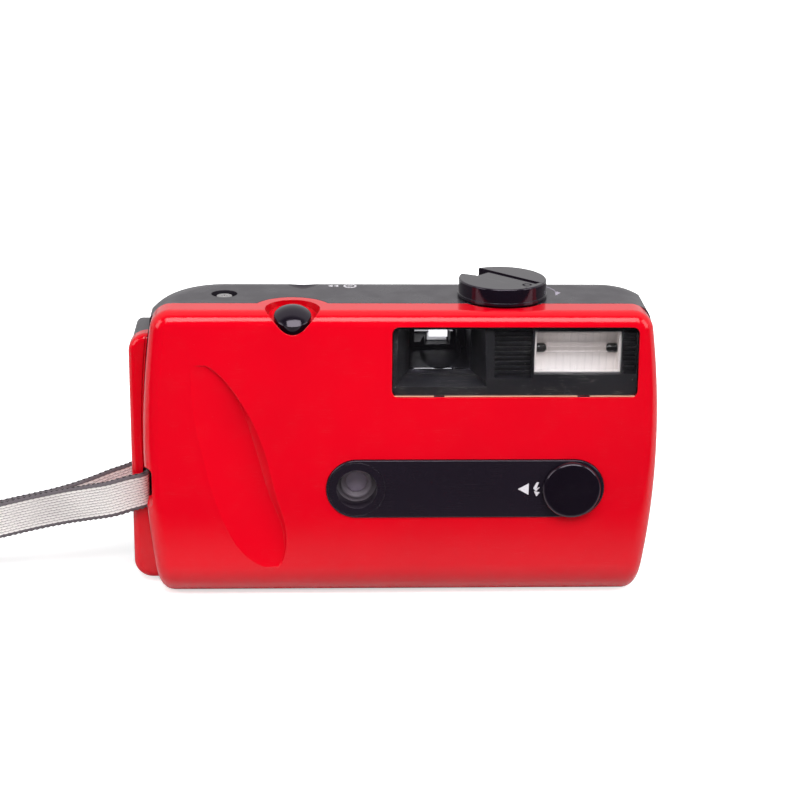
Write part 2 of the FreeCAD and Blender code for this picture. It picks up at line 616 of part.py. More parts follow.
def front_cover():
    outer = front_blank(0.0, PARTING)
    inner = front_blank(WALL, PARTING + 1)
    shell = outer.cut(inner)
    cap = front_blank(0.0, PARTING + 8).common(tongue())
    cap = cap.cut(front_blank(WALL, PARTING + 9)).common(
        box(-LENGTH, LENGTH, FRONT, PARTING + 8, HEIGHT - WALL, HEIGHT + 1))
    shell = shell.fuse(cap)
    seat = Part.makeCylinder(WELL_R + 1.0, 14, WELL_CENTRE - BUTTON_AXIS * (BUTTON_SINK + 1.0), BUTTON_AXIS)
    seat = seat.common(front_blank(0.0, PARTING + 8)).common(
        tongue().fuse(box(-LENGTH, LENGTH, FRONT, PARTING, 0, HEIGHT)))
    recess = slot_plate(PLATE_LEFT - PLATE_GAP, PLATE_RIGHT + PLATE_GAP, LENS_Z,
                        PLATE_HEIGHT / 2 + PLATE_GAP, FRONT - 2, PLATE_FRONT + PLATE_THICK)
    backing = slot_plate(PLATE_LEFT - 1, PLATE_RIGHT + 1, LENS_Z, PLATE_HEIGHT / 2 + 1,
                         PLATE_FRONT + PLATE_THICK, PLATE_FRONT + PLATE_THICK + 1.1)
    notch_wall = box(SHELL_LEFT + NOTCH_IN - 0.2, SHELL_LEFT + NOTCH_IN + NOTCH_WALL, FRONT + 4, PARTING,
                     NOTCH_FOOT - 1.4, NOTCH_FOOT + NOTCH_HEIGHT + 1.0)
    scoop_wall = grip_scoop(SCOOP_BACKING, 0.8).common(
        box(-LENGTH, LENGTH, FRONT, PARTING, 0, SCOOP_BACKING_TOP * HEIGHT))
    for inside in (seat, backing, notch_wall, scoop_wall):
        shell = shell.fuse(inside.common(front_blank(0.0, PARTING + 8)))
    lens_opening = rod(LENS_X, FRONT, LENS_Z, LENS_HOLE_R + 1.0 + PLATE_GAP, 12, Y_AXIS)
    switch_opening = box(SWITCH_X - SWITCH_TRAVEL - 2.2, SWITCH_X + 2.2, FRONT, FRONT + 8,
                         LENS_Z - 2.0, LENS_Z + 2.0)
    stem_way = Part.makeCylinder(BUTTON_STEM_R + SHAFT_GAP, 14, BUTTON_CENTRE - BUTTON_AXIS * 6, BUTTON_AXIS)
    pocket = Part.makeCylinder(BUTTON_R + BUTTON_GAP, 12, BUTTON_CENTRE - BUTTON_AXIS * BUTTON_SINK,
                               BUTTON_AXIS)
    knob_relief = rod(REWIND_X, REWIND_Y, HEIGHT - 0.9, REWIND_FLANGE_R + 0.5, 4)
    return without(shell, recess, lens_opening, switch_opening, well_cut(), window_opening(WINDOW_GAP),
                   stem_way, pocket, strap_gap(), strap_notch(), grip_scoop(0.0, 0.0), knob_relief)


def scoop_section(level, left, right, wall, depth, sink, grow):
    """One level section of the finger scoop: a steep wall on the right, a floor that rises to the left."""
    z = level * HEIGHT
    y = face_y(z) + sink
    right = SHELL_LEFT + right + grow
    left = SHELL_LEFT + left - grow
    wide = right - left
    foot = V(right - wall, y + depth, z)
    lip = V(right + wall * 1.5 / depth, y - 1.5, z)
    floor = Part.BezierCurve()
    floor.setPoles([foot, V(foot.x - wide * 0.30, y + depth * 1.05, z),
                    V(left + wide * 0.35, y + depth * 0.55, z),
                    V(left + wide * 0.10, y + depth * 0.05, z), V(left - 3.0, y - 0.6, z)])
    return Part.Wire([line(lip, foot), floor.toShape(), line(V(left - 3.0, y - 0.6, z), lip)])


def grip_scoop(sink, grow):
    """The slanting leaf-shaped finger scoop, lofted through level sections."""
    sections = [scoop_section(*row, sink, grow) for row in reversed(SCOOP)]
    return Part.makeLoft(sections, True, False)


def inner_space(extra=CHASSIS_GAP):
    """Everything inside the closed shells."""
    front = front_blank(WALL + extra, PARTING)
    rear = rear_blank(REAR_WALL + extra, RIGHT_STEP)
    rear = rear.common(box(-LENGTH, LENGTH, PARTING, REAR, -1, HEIGHT + 1))
    return front.fuse(rear)


def rear_shell():
    """Both black covers in one, open at the front."""
    shell = rear_blank(0.0, RIGHT_STEP).cut(rear_blank(REAR_WALL, RIGHT_STEP))
    shell = shell.common(box(-LENGTH, LENGTH, PARTING + SEAM, REAR, -1, HEIGHT + 1))
    return shell


def thumb_recess():
    """The hollow in the rear wall where the advance wheel stands out."""
    return rod(SPROCKET_X, TOP_REAR + 10.6, WHEEL_FOOT - 1.0, 12.4, WHEEL_THICK + 2.0)


def top_cover():
    cover = rear_shell().common(box(-LENGTH, LENGTH, PARTING, REAR, SPLIT + SEAM / 2, HEIGHT + 1))
    recess_boss = rod(RECESS_X, RECESS_Y, HEIGHT - RECESS_DEPTH - 1.4, RECESS_R + 0.9, RECESS_DEPTH + 0.6)
    lamp_boss = rod(LAMP_X, LAMP_Y, HEIGHT - 4.2, LAMP_R + 0.9, 3.4)
    dish_middle = V(LAMP_X, LAMP_Y + DISH_BACK, HEIGHT + DISH_R - DISH_DEPTH)
    dish_boss = Part.makeSphere(DISH_R + DISH_WALL, dish_middle).common(rear_blank(0.2, RIGHT_STEP))
    bearing = rod(REWIND_X, REWIND_Y, GUIDE_FOOT, GUIDE_R + GUIDE_WALL, HEIGHT - 1.0 - GUIDE_FOOT)
    liner = ring(SPROCKET_X, TOP_REAR + 10.6, WHEEL_FOOT - 1.8, 13.4, 12.4, WHEEL_THICK + 3.6)
    liner = liner.common(rear_blank(0.2, RIGHT_STEP))
    cover = fused([cover, recess_boss, lamp_boss, dish_boss, bearing, liner])
    return without(
        cover,
        tongue(SEAM),
        rod(RECESS_X, RECESS_Y, HEIGHT - RECESS_DEPTH, RECESS_R, 4),
        rod(RECESS_X, RECESS_Y, HEIGHT - 5, SCREW_R + 0.1, 6),
        rod(LAMP_X, LAMP_Y, HEIGHT - 6, LAMP_R + 0.02, 8),
        Part.makeSphere(DISH_R, dish_middle),
        rod(REWIND_X, REWIND_Y, HEIGHT - 6, REWIND_SHAFT_R + SHAFT_GAP, 8),
        rod(REWIND_X, REWIND_Y, GUIDE_FOOT - 1, GUIDE_R, GUIDE_TOP - GUIDE_FOOT + 1),
        thumb_recess(),
        rod(SPROCKET_X, SPROCKET_Y, WHEEL_FOOT - 0.5, WHEEL_R + 0.4, WHEEL_THICK + 1.0),
        box(DIAL_X - 2.2, DIAL_X + 2.2, TOP_REAR - 4, REAR, WHEEL_FOOT + 0.2, WHEEL_FOOT + 3.4),
        box(FINDER_X - EYEPIECE_WIDTH / 2, FINDER_X + EYEPIECE_WIDTH / 2, TOP_REAR - 4, REAR + 1,
            FINDER_Z - EYEPIECE_HEIGHT / 2, FINDER_Z + EYEPIECE_HEIGHT / 2),
    )


def side_zone(extra):
    """The space in front of the slanting joint line between the strap side piece and the bulge."""
    slope = (SIDE_REAR - SIDE_TOP_REAR) / (SIDE_TOP - SIDE_SLANT_FOOT)
    past = slope * (HEIGHT - SIDE_TOP)
    corners = [(FRONT, -1), (SIDE_REAR + extra, -1), (SIDE_REAR + extra, SIDE_SLANT_FOOT),
               (SIDE_TOP_REAR - past + extra, HEIGHT), (FRONT, HEIGHT), (FRONT, -1)]
    face = Part.Face(Part.makePolygon([V(-LENGTH, y, z) for y, z in corners]))
    return face.extrude(V(2 * LENGTH, 0, 0))


def bulge():
    """The black side behind the strap's bar, up to the top cover's round corner."""
    left = SHELL_LEFT - SIDE_STEP + BULGE_STEP
    right = left + BULGE_REACH
    turn = math.sqrt(0.5)
    round_top = min(BULGE_SHOULDER, TOP_REAR - PARTING - 1)
    profile = [
        line(V(left, PARTING, SIDE_FOOT), V(left, TOP_REAR - HEEL_ROUND, SIDE_FOOT)),
        arc(V(left, TOP_REAR - HEEL_ROUND, SIDE_FOOT),
            V(left, TOP_REAR - HEEL_ROUND + HEEL_ROUND * turn, SIDE_FOOT + HEEL_ROUND - HEEL_ROUND * turn),
            V(left, TOP_REAR, SIDE_FOOT + HEEL_ROUND)),
        line(V(left, TOP_REAR, SIDE_FOOT + HEEL_ROUND), V(left, TOP_REAR, BULGE_TOP - round_top)),
        arc(V(left, TOP_REAR, BULGE_TOP - round_top),
            V(left, TOP_REAR - round_top + round_top * turn, BULGE_TOP - round_top + round_top * turn),
            V(left, TOP_REAR - round_top, BULGE_TOP)),
        line(V(left, TOP_REAR - round_top, BULGE_TOP), V(left, PARTING, BULGE_TOP)),
        line(V(left, PARTING, BULGE_TOP), V(left, PARTING, SIDE_FOOT)),
    ]
    lump = prism(profile, V(right - left, 0, 0))
    lump = lump.common(rounded_plate(left, right + 10, SIDE_FOOT, BULGE_TOP, SIDE_ROUND, PARTING, TOP_REAR))
    plan = box(left, right + 10, PARTING, TOP_REAR, 0, HEIGHT)
    corner = [e for e in plan.Edges if abs(e.tangentAt(e.FirstParameter).z) > 0.99
              and e.CenterOfMass.y > 0 and e.CenterOfMass.x < left + 1]
    lump = lump.common(plan.makeFillet(BULGE_PLAN_ROUND, corner))
    above = rear_blank(-SEAM, RIGHT_STEP).common(
        box(-LENGTH, LENGTH, PARTING, REAR, SPLIT - SEAM / 2, HEIGHT + 1))
    return without(lump, side_zone(SEAM), rear_blank(REAR_WALL, RIGHT_STEP), above, thumb_recess())


def hinge_knuckles(own):
    """The hinge barrel's knuckles, the cover's own or the door's."""
    height = (DOOR_TOP - DOOR_FOOT) / 5
    knuckles = []
    for i in range(5):
        if (i % 2 == 0) == own:
            z = DOOR_FOOT + i * height + DOOR_GAP / 2
            knuckles.append((z, height - DOOR_GAP))
    return knuckles


def rear_cover():
    shell = rear_shell().common(box(-LENGTH, LENGTH, PARTING, REAR, -1, SPLIT - SEAM / 2))
    knuckles = []
    for z, height in hinge_knuckles(True):
        knuckles.append(rod(HINGE_X, HINGE_Y, z, HINGE_R, height))
        knuckles.append(box(HINGE_X - 1.2, HINGE_X + HINGE_R - 0.4, HINGE_Y - 3.2, HINGE_Y - 0.4,
                            z, z + height))
    socket_boss = rod(TRIPOD_X, TRIPOD_Y, 0, TRIPOD_OUTER_R + 1.2, 4.4)
    button_guide = rod(RELEASE_X, RELEASE_Y, 0, RELEASE_R + 1.1, 2.6)
    feet = [rod(x, y, 0, SCREW_HEAD_R + 0.9, FLOOR_Z) for x, y in FLOOR_SCREWS]
    door_space = box(DOOR_LEFT - DOOR_GAP, DOOR_RIGHT + DOOR_GAP, TOP_REAR - 4, REAR,
                     DOOR_FOOT - DOOR_GAP, DOOR_TOP + DOOR_GAP)
    pieces = [shell, bulge(), socket_boss, button_guide] + feet + knuckles
    cover = fused([piece.cut(door_space) for piece in pieces])
    door_knuckles = [rod(HINGE_X, HINGE_Y, z - DOOR_GAP, HINGE_R + DOOR_GAP, height + 2 * DOOR_GAP)
                     for z, height in hinge_knuckles(False)]
    door_webs = [box(HINGE_X, DOOR_LEFT, HINGE_Y - 2.2, REAR, z - DOOR_GAP, z + height + DOOR_GAP)
                 for z, height in hinge_knuckles(False)]
    cells = box(BATTERY_X - BAY_HALF - 0.25, BATTERY_X + BAY_HALF + 0.25, PARTING - 1, BAY_REAR + 0.2, -1, 3)
    barrel_room = box(BATTERY_X + BAY_HALF, BATTERY_HINGE_X + BARREL_HALF + BARREL_CLEAR,
                      BATTERY_DOOR_FRONT + 1.8, BAY_REAR - 1.8, -1, 3)
    cover = without(
        cover, strap_gap(), cells, barrel_room,
        rod(HINGE_X, HINGE_Y, DOOR_FOOT - 1, HINGE_PIN_R + 0.01, DOOR_TOP - DOOR_FOOT + 2),
        rod(TRIPOD_X, TRIPOD_Y, -1, TRIPOD_OUTER_R, 8),
        rod(RELEASE_X, RELEASE_Y, -1, RELEASE_R + 0.1, 6),
        latch_pocket(),
        rod(BATTERY_HINGE_X, BATTERY_DOOR_FRONT + 0.9, BATTERY_HINGE_Z, BARREL_PIN_R + SHAFT_GAP,
            BAY_REAR - BATTERY_DOOR_FRONT - 1.8, Y_AXIS),
        *door_knuckles, *door_webs)
    for x, y in FLOOR_SCREWS:
        head_way = rod(x, y, -1, SCREW_HEAD_R + 0.1, SCREW_SEAT + 1)
        cover = without(cover, head_way, rod(x, y, 0, SCREW_R + 0.1, 5))
    return cover


def latch_pocket():
    return box(DOOR_RIGHT, DOOR_RIGHT + DOOR_GAP + LATCH_LENGTH + LATCH_TRAVEL + 0.3,
               TOP_REAR - LATCH_THICK - 0.1, REAR,
               LATCH_Z - LATCH_HEIGHT / 2 - 0.1, LATCH_Z + LATCH_HEIGHT / 2 + 0.1)


def door_latch():
    x0 = DOOR_RIGHT + DOOR_GAP + 0.05
    z0, z1 = LATCH_Z - LATCH_HEIGHT / 2, LATCH_Z + LATCH_HEIGHT / 2
    plate = box(x0, x0 + LATCH_LENGTH, TOP_REAR - LATCH_THICK, TOP_REAR + 0.2, z0, z1)
    grip = box(x0 + 1.6, x0 + 6.0, TOP_REAR, TOP_REAR + 1.6, z0 + 1.2, z1 - 1.2)
    grip = grip.makeFillet(0.5, [e for e in grip.Edges if e.CenterOfMass.y > TOP_REAR + 1.5])
    latch = plate.fuse(grip)
    for i in range(4):
        x = x0 + 2.3 + i * 1.0
        latch = latch.cut(box(x, x + 0.4, TOP_REAR + 1.2, REAR + 1, z0 + 1.6, z1 - 1.6))
    return latch


def side_cover():
    left = SHELL_LEFT - SIDE_STEP
    lump = rounded_plate(left, left + 14, SIDE_FOOT, SIDE_TOP, SIDE_ROUND, PARTING + SEAM, SIDE_REAR)
    rim = [e for e in lump.Edges if abs(e.CenterOfMass.y - PARTING - SEAM) < 1e-3
           and e.CenterOfMass.x < left + 8]
    lump = lump.makeFillet(SIDE_RIM, rim)
    outer, inner = SIDE_GROOVE_FROM + SIDE_GROOVE, SIDE_GROOVE_FROM
    groove = rear_blank(-outer, 0).cut(rear_blank(-inner, 0))
    groove = groove.common(box(-LENGTH, 0, PARTING, PARTING + SEAM + 0.5, -1, HEIGHT))
    return without(lump.common(side_zone(0.0)), rear_blank(-0.1, RIGHT_STEP), strap_gap(), groove)


def back_door():
    y0 = TOP_REAR - 1.9
    slab = box(DOOR_LEFT, DOOR_RIGHT, y0, DOOR_FACE, DOOR_FOOT, DOOR_TOP)
    slab = slab.makeFillet(1.3, [e for e in slab.Edges if e.CenterOfMass.y > DOOR_FACE - 0.1])
    hollow = box(DOOR_LEFT + DOOR_WALL, DOOR_RIGHT - DOOR_WALL, y0 - 1, DOOR_FACE - DOOR_WALL,
                 DOOR_FOOT + DOOR_WALL, DOOR_TOP - DOOR_WALL)
    pieces = [slab.cut(hollow)]
    for z, height in hinge_knuckles(False):
        pieces.append(rod(HINGE_X, HINGE_Y, z, HINGE_R, height))
        pieces.append(box(HINGE_X, DOOR_LEFT + 0.6, HINGE_Y - 1.0, HINGE_Y + HINGE_R - 0.5, z, z + height))
    for dx in (-9.0, 9.0):
        pieces.append(rod(LENS_X + dx, DOOR_FACE - DOOR_WALL - 0.6, LENS_Z, 1.2, 0.8, Y_AXIS))
    door = fused(pieces)
    x0, x1 = REWIND_X - DOOR_WINDOW_WIDTH / 2, REWIND_X + DOOR_WINDOW_WIDTH / 2
    z0, z1 = LENS_Z - DOOR_WINDOW_HEIGHT / 2, LENS_Z + DOOR_WINDOW_HEIGHT / 2
    return without(
        door,
        box(x0, x1, y0, REAR, z0, z1),
        box(x0 - 0.8, x1 + 0.8, DOOR_FACE - 0.9, REAR, z0 - 0.8, z1 + 0.8),
        rod(HINGE_X, HINGE_Y, DOOR_FOOT - 1, HINGE_PIN_R + SHAFT_GAP, DOOR_TOP - DOOR_FOOT + 2))


def film_window():
    x0, x1 = REWIND_X - DOOR_WINDOW_WIDTH / 2, REWIND_X + DOOR_WINDOW_WIDTH / 2
    z0, z1 = LENS_Z - DOOR_WINDOW_HEIGHT / 2, LENS_Z + DOOR_WINDOW_HEIGHT / 2
    return box(x0 - 0.75, x1 + 0.75, DOOR_FACE - 0.9, DOOR_FACE - 0.1, z0 - 0.75, z1 + 0.75)


def hinge_pin():
    return rod(HINGE_X, HINGE_Y, DOOR_FOOT + 0.1, HINGE_PIN_R, DOOR_TOP - DOOR_FOOT - 0.2)


def light_seals():
    """Foam strips inside the back door, at the hinge and at the latch."""
    y1 = DOOR_FACE - DOOR_WALL
    z0, z1 = DOOR_FOOT + DOOR_WALL + 0.3, DOOR_TOP - DOOR_WALL - 0.3
    left = box(DOOR_LEFT + DOOR_WALL + 0.1, DOOR_LEFT + DOOR_WALL + 2.1, y1 - 1.2, y1, z0, z1)
    right = box(DOOR_RIGHT - DOOR_WALL - 2.1, DOOR_RIGHT - DOOR_WALL - 0.1, y1 - 1.2, y1, z0, z1)
    return Part.makeCompound([left, right])


def pressure_plate():
    y0 = FILM_PLANE + PRESS_GAP
    plate = rounded_plate(SPROCKET_X + SPROCKET_CLEAR, LENS_X + PLATE_SIDE, LENS_Z - FILM_WIDTH / 2 - 0.5,
                          LENS_Z + FILM_WIDTH / 2 + 0.5, 1.5, y0, y0 + PRESS_THICK)
    return plate


def pressure_spring():
    """A bowed leaf between the pressure plate and the door."""
    y0 = FILM_PLANE + PRESS_GAP + PRESS_THICK
    y1 = DOOR_FACE - DOOR_WALL - 0.6
    low = [V(LENS_X - LEAF_HALF, y0 + 0.02, 0), V(LENS_X, y1 - LEAF_THICK, 0),
           V(LENS_X + LEAF_HALF, y0 + 0.02, 0)]
    high = [V(p.x, p.y + LEAF_THICK, 0) for p in low]
    leaf = prism([arc(*low), line(low[2], high[2]), arc(high[2], high[1], high[0]), line(high[0], low[0])],
                 V(0, 0, LEAF_WIDTH))
    leaf.translate(V(0, 0, LENS_Z - LEAF_WIDTH / 2))
    return leaf


def light_box(extra):
    """The tapering space between shutter and film gate, grown by extra."""
    def frame(y, half_x, half_z):
        points = [V(LENS_X + sx * (half_x + extra), y, LENS_Z + sz * (half_z + extra))
                  for sx, sz in ((-1, -1), (1, -1), (1, 1), (-1, 1))]
        return Part.makePolygon(points + [points[0]])
    return Part.makeLoft([frame(SHUTTER_REAR, 5.0, 4.6), frame(FILM_PLANE, GATE_WIDTH / 2, GATE_HEIGHT / 2)],
                         True, True)


def cassette_bay(extra=0.0):
    return rod(REWIND_X, REWIND_Y, FLOOR_TOP, CASSETTE_R + extra, CEILING - FLOOR_TOP)


def spool_bay(extra=0.0):
    return rod(SPOOL_X, SPOOL_Y, FLOOR_TOP, SPOOL_BAY_R + extra, CEILING - FLOOR_TOP)


def chassis():
    """Film chambers, film gate, light box and battery bay in one moulding."""
    left = SPOOL_X - SPOOL_BAY_R - BAY_WALL
    right = REWIND_X + CASSETTE_R + BAY_WALL
    gate_left, gate_right = SPOOL_X, REWIND_X
    gate = box(gate_left, gate_right, FILM_PLANE - 2.4, FILM_PLANE, FLOOR_TOP - 0.2, CEILING + 0.2)
    plates = [box(left, right, SKIRT_REAR + 0.1, FILM_PLANE, z, z + thick)
              for z, thick in ((FLOOR_Z, FLOOR_THICK), (CEILING, CEILING_THICK))]
    battery = box(BATTERY_X - BAY_HALF - BATTERY_WALL, BATTERY_X + BAY_HALF + BATTERY_WALL,
                  BAY_FRONT - BATTERY_WALL, BAY_REAR + BATTERY_WALL, FLOOR_Z, BAY_TOP + 1.0)
    web = box(right - 1, BATTERY_X - BAY_HALF, FILM_PLANE - 6, FILM_PLANE - 4.8, FLOOR_Z, CEILING)
    posts = [
        rod(RECESS_X, RECESS_Y, CEILING, SCREW_R + POST_WALL, HEIGHT - RECESS_DEPTH - 1.6 - CEILING),
        rod(DIAL_X, DIAL_Y, CEILING, SHAFT_R, WHEEL_FOOT + WHEEL_THICK - CEILING),
        rod(IDLER_X, IDLER_Y, CEILING, SHAFT_R, GEAR_FOOT + GEAR_THICK - CEILING),
        rod(RELEASE_X, RELEASE_Y, FLOOR_Z, RELEASE_R + 2.4, RELEASE_POCKET + 0.9 - FLOOR_Z),
    ]
    screw_posts = [rod(x, y, FLOOR_Z, SCREW_R + 1.1, 6) for x, y in FLOOR_SCREWS]
    shutter_seat = box(LENS_X - SHUTTER_HALF, LENS_X + SHUTTER_HALF, SHUTTER_REAR, SHUTTER_REAR + 1.2,
                       LENS_Z - SHUTTER_HALF, LENS_Z + SHUTTER_HALF)
    body = fused([gate, battery, web, light_box(1.1), cassette_bay(BAY_WALL), spool_bay(BAY_WALL),
                  shutter_seat] + plates + posts + screw_posts)
    space = inner_space()
    body = body.common(space)
    rear = REAR + 1
    frame_space = box(WINDOW_LEFT - 2, WINDOW_RIGHT + 2, FRONT, FRAME_REAR + 0.15,
                      CEILING + CEILING_THICK, HEIGHT)
    body = without(
        body, light_box(0.0), cassette_bay(), spool_bay(),
        box(REWIND_X - CASSETTE_R, REWIND_X + CASSETTE_R, REWIND_Y + 5, rear, FLOOR_TOP, CEILING),
        box(SPOOL_X - SPOOL_BAY_R, SPOOL_X + SPOOL_BAY_R, SPOOL_Y + 4, rear, FLOOR_TOP, CEILING),
        sprocket_slots(),
        box(BATTERY_X - BAY_HALF, BATTERY_X + BAY_HALF, BAY_FRONT, BAY_REAR, -1, BAY_TOP),
        rod(REWIND_X, REWIND_Y, CEILING - 1, REWIND_SHAFT_R + SHAFT_GAP, 4),
        rod(SPOOL_X, SPOOL_Y, 0, SHAFT_R + SHAFT_GAP, HEIGHT),
        rod(SPROCKET_X, SPROCKET_Y, 0, SHAFT_R + SHAFT_GAP, HEIGHT),
        rod(RECESS_X, RECESS_Y, CEILING + 3, SCREW_R, 20),
        rod(TRIPOD_X, TRIPOD_Y, 0, TRIPOD_OUTER_R + 1.4, TRIPOD_DEPTH + 0.4),
        rod(RELEASE_X, RELEASE_Y, 0, RELEASE_R + 1.4, RELEASE_POCKET),
        frame_space, finder_funnel(0.0),
        box(-LENGTH, SPOOL_X + 2, FILM_PLANE - 0.1, rear, 0, HEIGHT),
        box(-LENGTH, DOOR_RIGHT + DOOR_GAP, TOP_REAR - 1.9 - 0.3, rear, 0, HEIGHT),
    )
    for x, y in FLOOR_SCREWS:
        body = without(body, rod(x, y, 0, SCREW_R, 8))
    return body


def sprocket_slots():
    """Room for the two toothed wheels and their shaft beside the film gate."""
    reach = SPROCKET_R + 1.5
    slots = [rod(SPROCKET_X, SPROCKET_Y, LENS_Z + s * PERFORATION_ROW - 1.2, reach, 2.4) for s in (-1, 1)]
    shaft_way = rod(SPROCKET_X, SPROCKET_Y, FLOOR_TOP, 2.6, CEILING - FLOOR_TOP)
    opening = box(SPROCKET_X - 2.6, SPROCKET_X + 2.6, SPROCKET_Y, REAR, FLOOR_TOP, CEILING)
    return fused(slots + [shaft_way, opening])


def finder_funnel(extra):
    """The flared space in front of the finder lens."""
    def frame(y, x0, x1, z0, z1):
        points = [V(x0, y, z0), V(x1, y, z0), V(x1, y, z1), V(x0, y, z1)]
        return Part.makePolygon(points + [points[0]])

    x0, x1 = FINDER_X - FINDER_WIDTH / 2, FINDER_X + FINDER_WIDTH / 2
    z0, z1 = FINDER_Z - FINDER_HEIGHT / 2, FINDER_Z + FINDER_HEIGHT / 2
    return Part.makeLoft([frame(FACE_FRONT + 1.3, x0 - 3.6, x1 + 3.5, FUNNEL_FOOT - extra, WINDOW_TOP),
                          frame(FINDER_FACE, x0, x1, z0 - extra, z1)], True, True)


def window_frame():
    """The black moulding behind the window: finder funnel, ribbed block and flash bay."""
    shelf = CEILING + CEILING_THICK + 0.15
    left, right = WINDOW_LEFT - FRAME_SIDE, WINDOW_RIGHT + FRAME_SIDE
    upper = box(left, right, FRONT, FRAME_REAR, shelf, WINDOW_TOP + 0.9)
    lower = box(left, right, FRONT, SKIRT_REAR, WINDOW_FOOT - 1.0, WINDOW_TOP)
    behind_shell = front_blank(WALL + CHASSIS_GAP, PARTING + 2)
    behind_pane = front_blank(SKIRT_FRONT, PARTING + 2).common(window_opening(-0.1, FRONT, PARTING))
    body = fused([upper, lower]).common(behind_shell.fuse(behind_pane))
    block_left = FLASH_LEFT - BLOCK_WIDTH + 0.6
    flash_foot, flash_top = FLASH_Z - FLASH_HEIGHT / 2, FLASH_Z + FLASH_HEIGHT / 2
    block_foot = shelf + 0.7
    body = without(
        body, finder_funnel(0.0),
        box(FINDER_X - FINDER_WIDTH / 2, FINDER_X + FINDER_WIDTH / 2, FINDER_FACE - 0.1, FRAME_REAR + 1,
            FINDER_Z - FINDER_HEIGHT / 2, FINDER_Z + FINDER_HEIGHT / 2),
        box(FLASH_LEFT - 0.1, FLASH_RIGHT + 0.1, FRONT, FRAME_REAR + 1, flash_foot - 0.1, flash_top + 0.1),
        box(block_left, FLASH_LEFT - 0.6, FRONT, FLASH_MOUTH + 0.5, block_foot, WINDOW_TOP),
        box(FLASH_RIGHT + 0.5, WINDOW_RIGHT - 0.3, FRONT, FLASH_MOUTH + 0.3, flash_foot, WINDOW_TOP))
    ribs = []
    count = int((WINDOW_TOP - block_foot) / RIB_PITCH)
    for i in range(count):
        z = WINDOW_TOP - 0.5 - i * RIB_PITCH
        ribs.append(box(block_left - 0.3, FLASH_LEFT - 0.3, FLASH_MOUTH + 0.5 - RIB_HEIGHT,
                        FLASH_MOUTH + 1.0, z - RIB_PITCH / 2, z))
        if z - RIB_PITCH > flash_foot:
            ribs.append(box(FLASH_RIGHT + 0.3, WINDOW_RIGHT - 0.1, FLASH_MOUTH + 0.3 - RIB_HEIGHT,
                            FLASH_MOUTH + 0.8, z - RIB_PITCH / 2, z))
    return body.multiFuse(ribs).removeSplitter()


def front_window():
    skin = front_blank(0.02, PARTING + 2).cut(front_blank(0.02 + WINDOW_THICK, PARTING + 3))
    pane = skin.common(window_opening(0.0, FRONT - 3, PARTING))
    return pane


def lens_plate():
    plate = slot_plate(PLATE_LEFT, PLATE_RIGHT, LENS_Z, PLATE_HEIGHT / 2, PLATE_FRONT,
                       PLATE_FRONT + PLATE_THICK)
    rim = [e for e in plate.Edges if abs(e.CenterOfMass.y - PLATE_FRONT) < 1e-3]
    plate = plate.makeFillet(0.25, rim)
    collar = rod(LENS_X, PLATE_FRONT + 0.5, LENS_Z, LENS_HOLE_R + 1.0, LENS_RECESS - 0.5 + 0.3, Y_AXIS)
    plate = fused([plate, collar])
    line_groove = ring(LENS_X, PLATE_FRONT - 1, LENS_Z, PLATE_HEIGHT / 2 - 0.42, PLATE_HEIGHT / 2 - 0.54,
                       1.08, Y_AXIS)
    stem = SWITCH_STEM / 2
    slot = box(SWITCH_X - SWITCH_TRAVEL - stem - 0.2, SWITCH_X + stem + 0.2,
               PLATE_FRONT - 1, PLATE_FRONT + 3, LENS_Z - stem - 0.1, LENS_Z + stem + 0.1)
    return without(plate, rod(LENS_X, FRONT, LENS_Z, LENS_HOLE_R, 12, Y_AXIS), line_groove, slot)


def flash_switch():
    knob = rod(SWITCH_X, FRONT, LENS_Z, SWITCH_R, KNOB_PROUD - 0.06, Y_AXIS)
    knob = knob.makeFillet(0.8, [e for e in knob.Edges if abs(e.CenterOfMass.y - FRONT) < 1e-3])
    stem = box(SWITCH_X - SWITCH_STEM / 2, SWITCH_X + SWITCH_STEM / 2, FRONT + 1, SWITCH_CLIP_Y + 0.3,
               LENS_Z - SWITCH_STEM / 2, LENS_Z + SWITCH_STEM / 2)
    clip = box(SWITCH_X - 3.0, SWITCH_X + 3.0, SWITCH_CLIP_Y, SWITCH_CLIP_Y + 0.8,
               LENS_Z - 3.2, LENS_Z + 3.2)
    return fused([knob, stem, clip])


def lens_barrel():
    """Holds both lens elements, on the shutter plate's rim."""
    front = PLATE_FRONT + LENS_RECESS
    rear = SHUTTER_REAR - SHUTTER_PLATE - BLADE_SPACE
    body = rod(LENS_X, front + 0.5, LENS_Z, BARREL_R, rear - front - 0.5, Y_AXIS)
    lip = rod(LENS_X, front, LENS_Z, LENS_RING_R, 1.0, Y_AXIS)
    flange = box(LENS_X - SHUTTER_HALF, LENS_X + SHUTTER_HALF, rear - 0.7, rear,
                 LENS_Z - SHUTTER_HALF, LENS_Z + SHUTTER_HALF)
    barrel = fused([body, lip, flange])
    return without(barrel,
                   rod(LENS_X, front - 1, LENS_Z, LENS_R, 20, Y_AXIS),
                   Part.makeCone(LENS_RING_R - 0.4, LENS_R, 0.7, V(LENS_X, front - 0.01, LENS_Z), Y_AXIS))


def lens_element(y, thick, radius, bow):
    """A lens with one curved front."""
    sphere_r = (radius ** 2 + bow ** 2) / (2 * bow)
    body = rod(LENS_X, y, LENS_Z, radius, thick, Y_AXIS)
    return body.common(Part.makeSphere(sphere_r, V(LENS_X, y + sphere_r, LENS_Z)))


def front_lens():
    return lens_element(PLATE_FRONT + LENS_RECESS + 0.75, 1.0, LENS_R - 0.02, 0.45)


def rear_lens():
    return lens_element(SHUTTER_REAR - SHUTTER_PLATE - BLADE_SPACE - 1.3, 1.0, LENS_R - 0.02, 0.3)


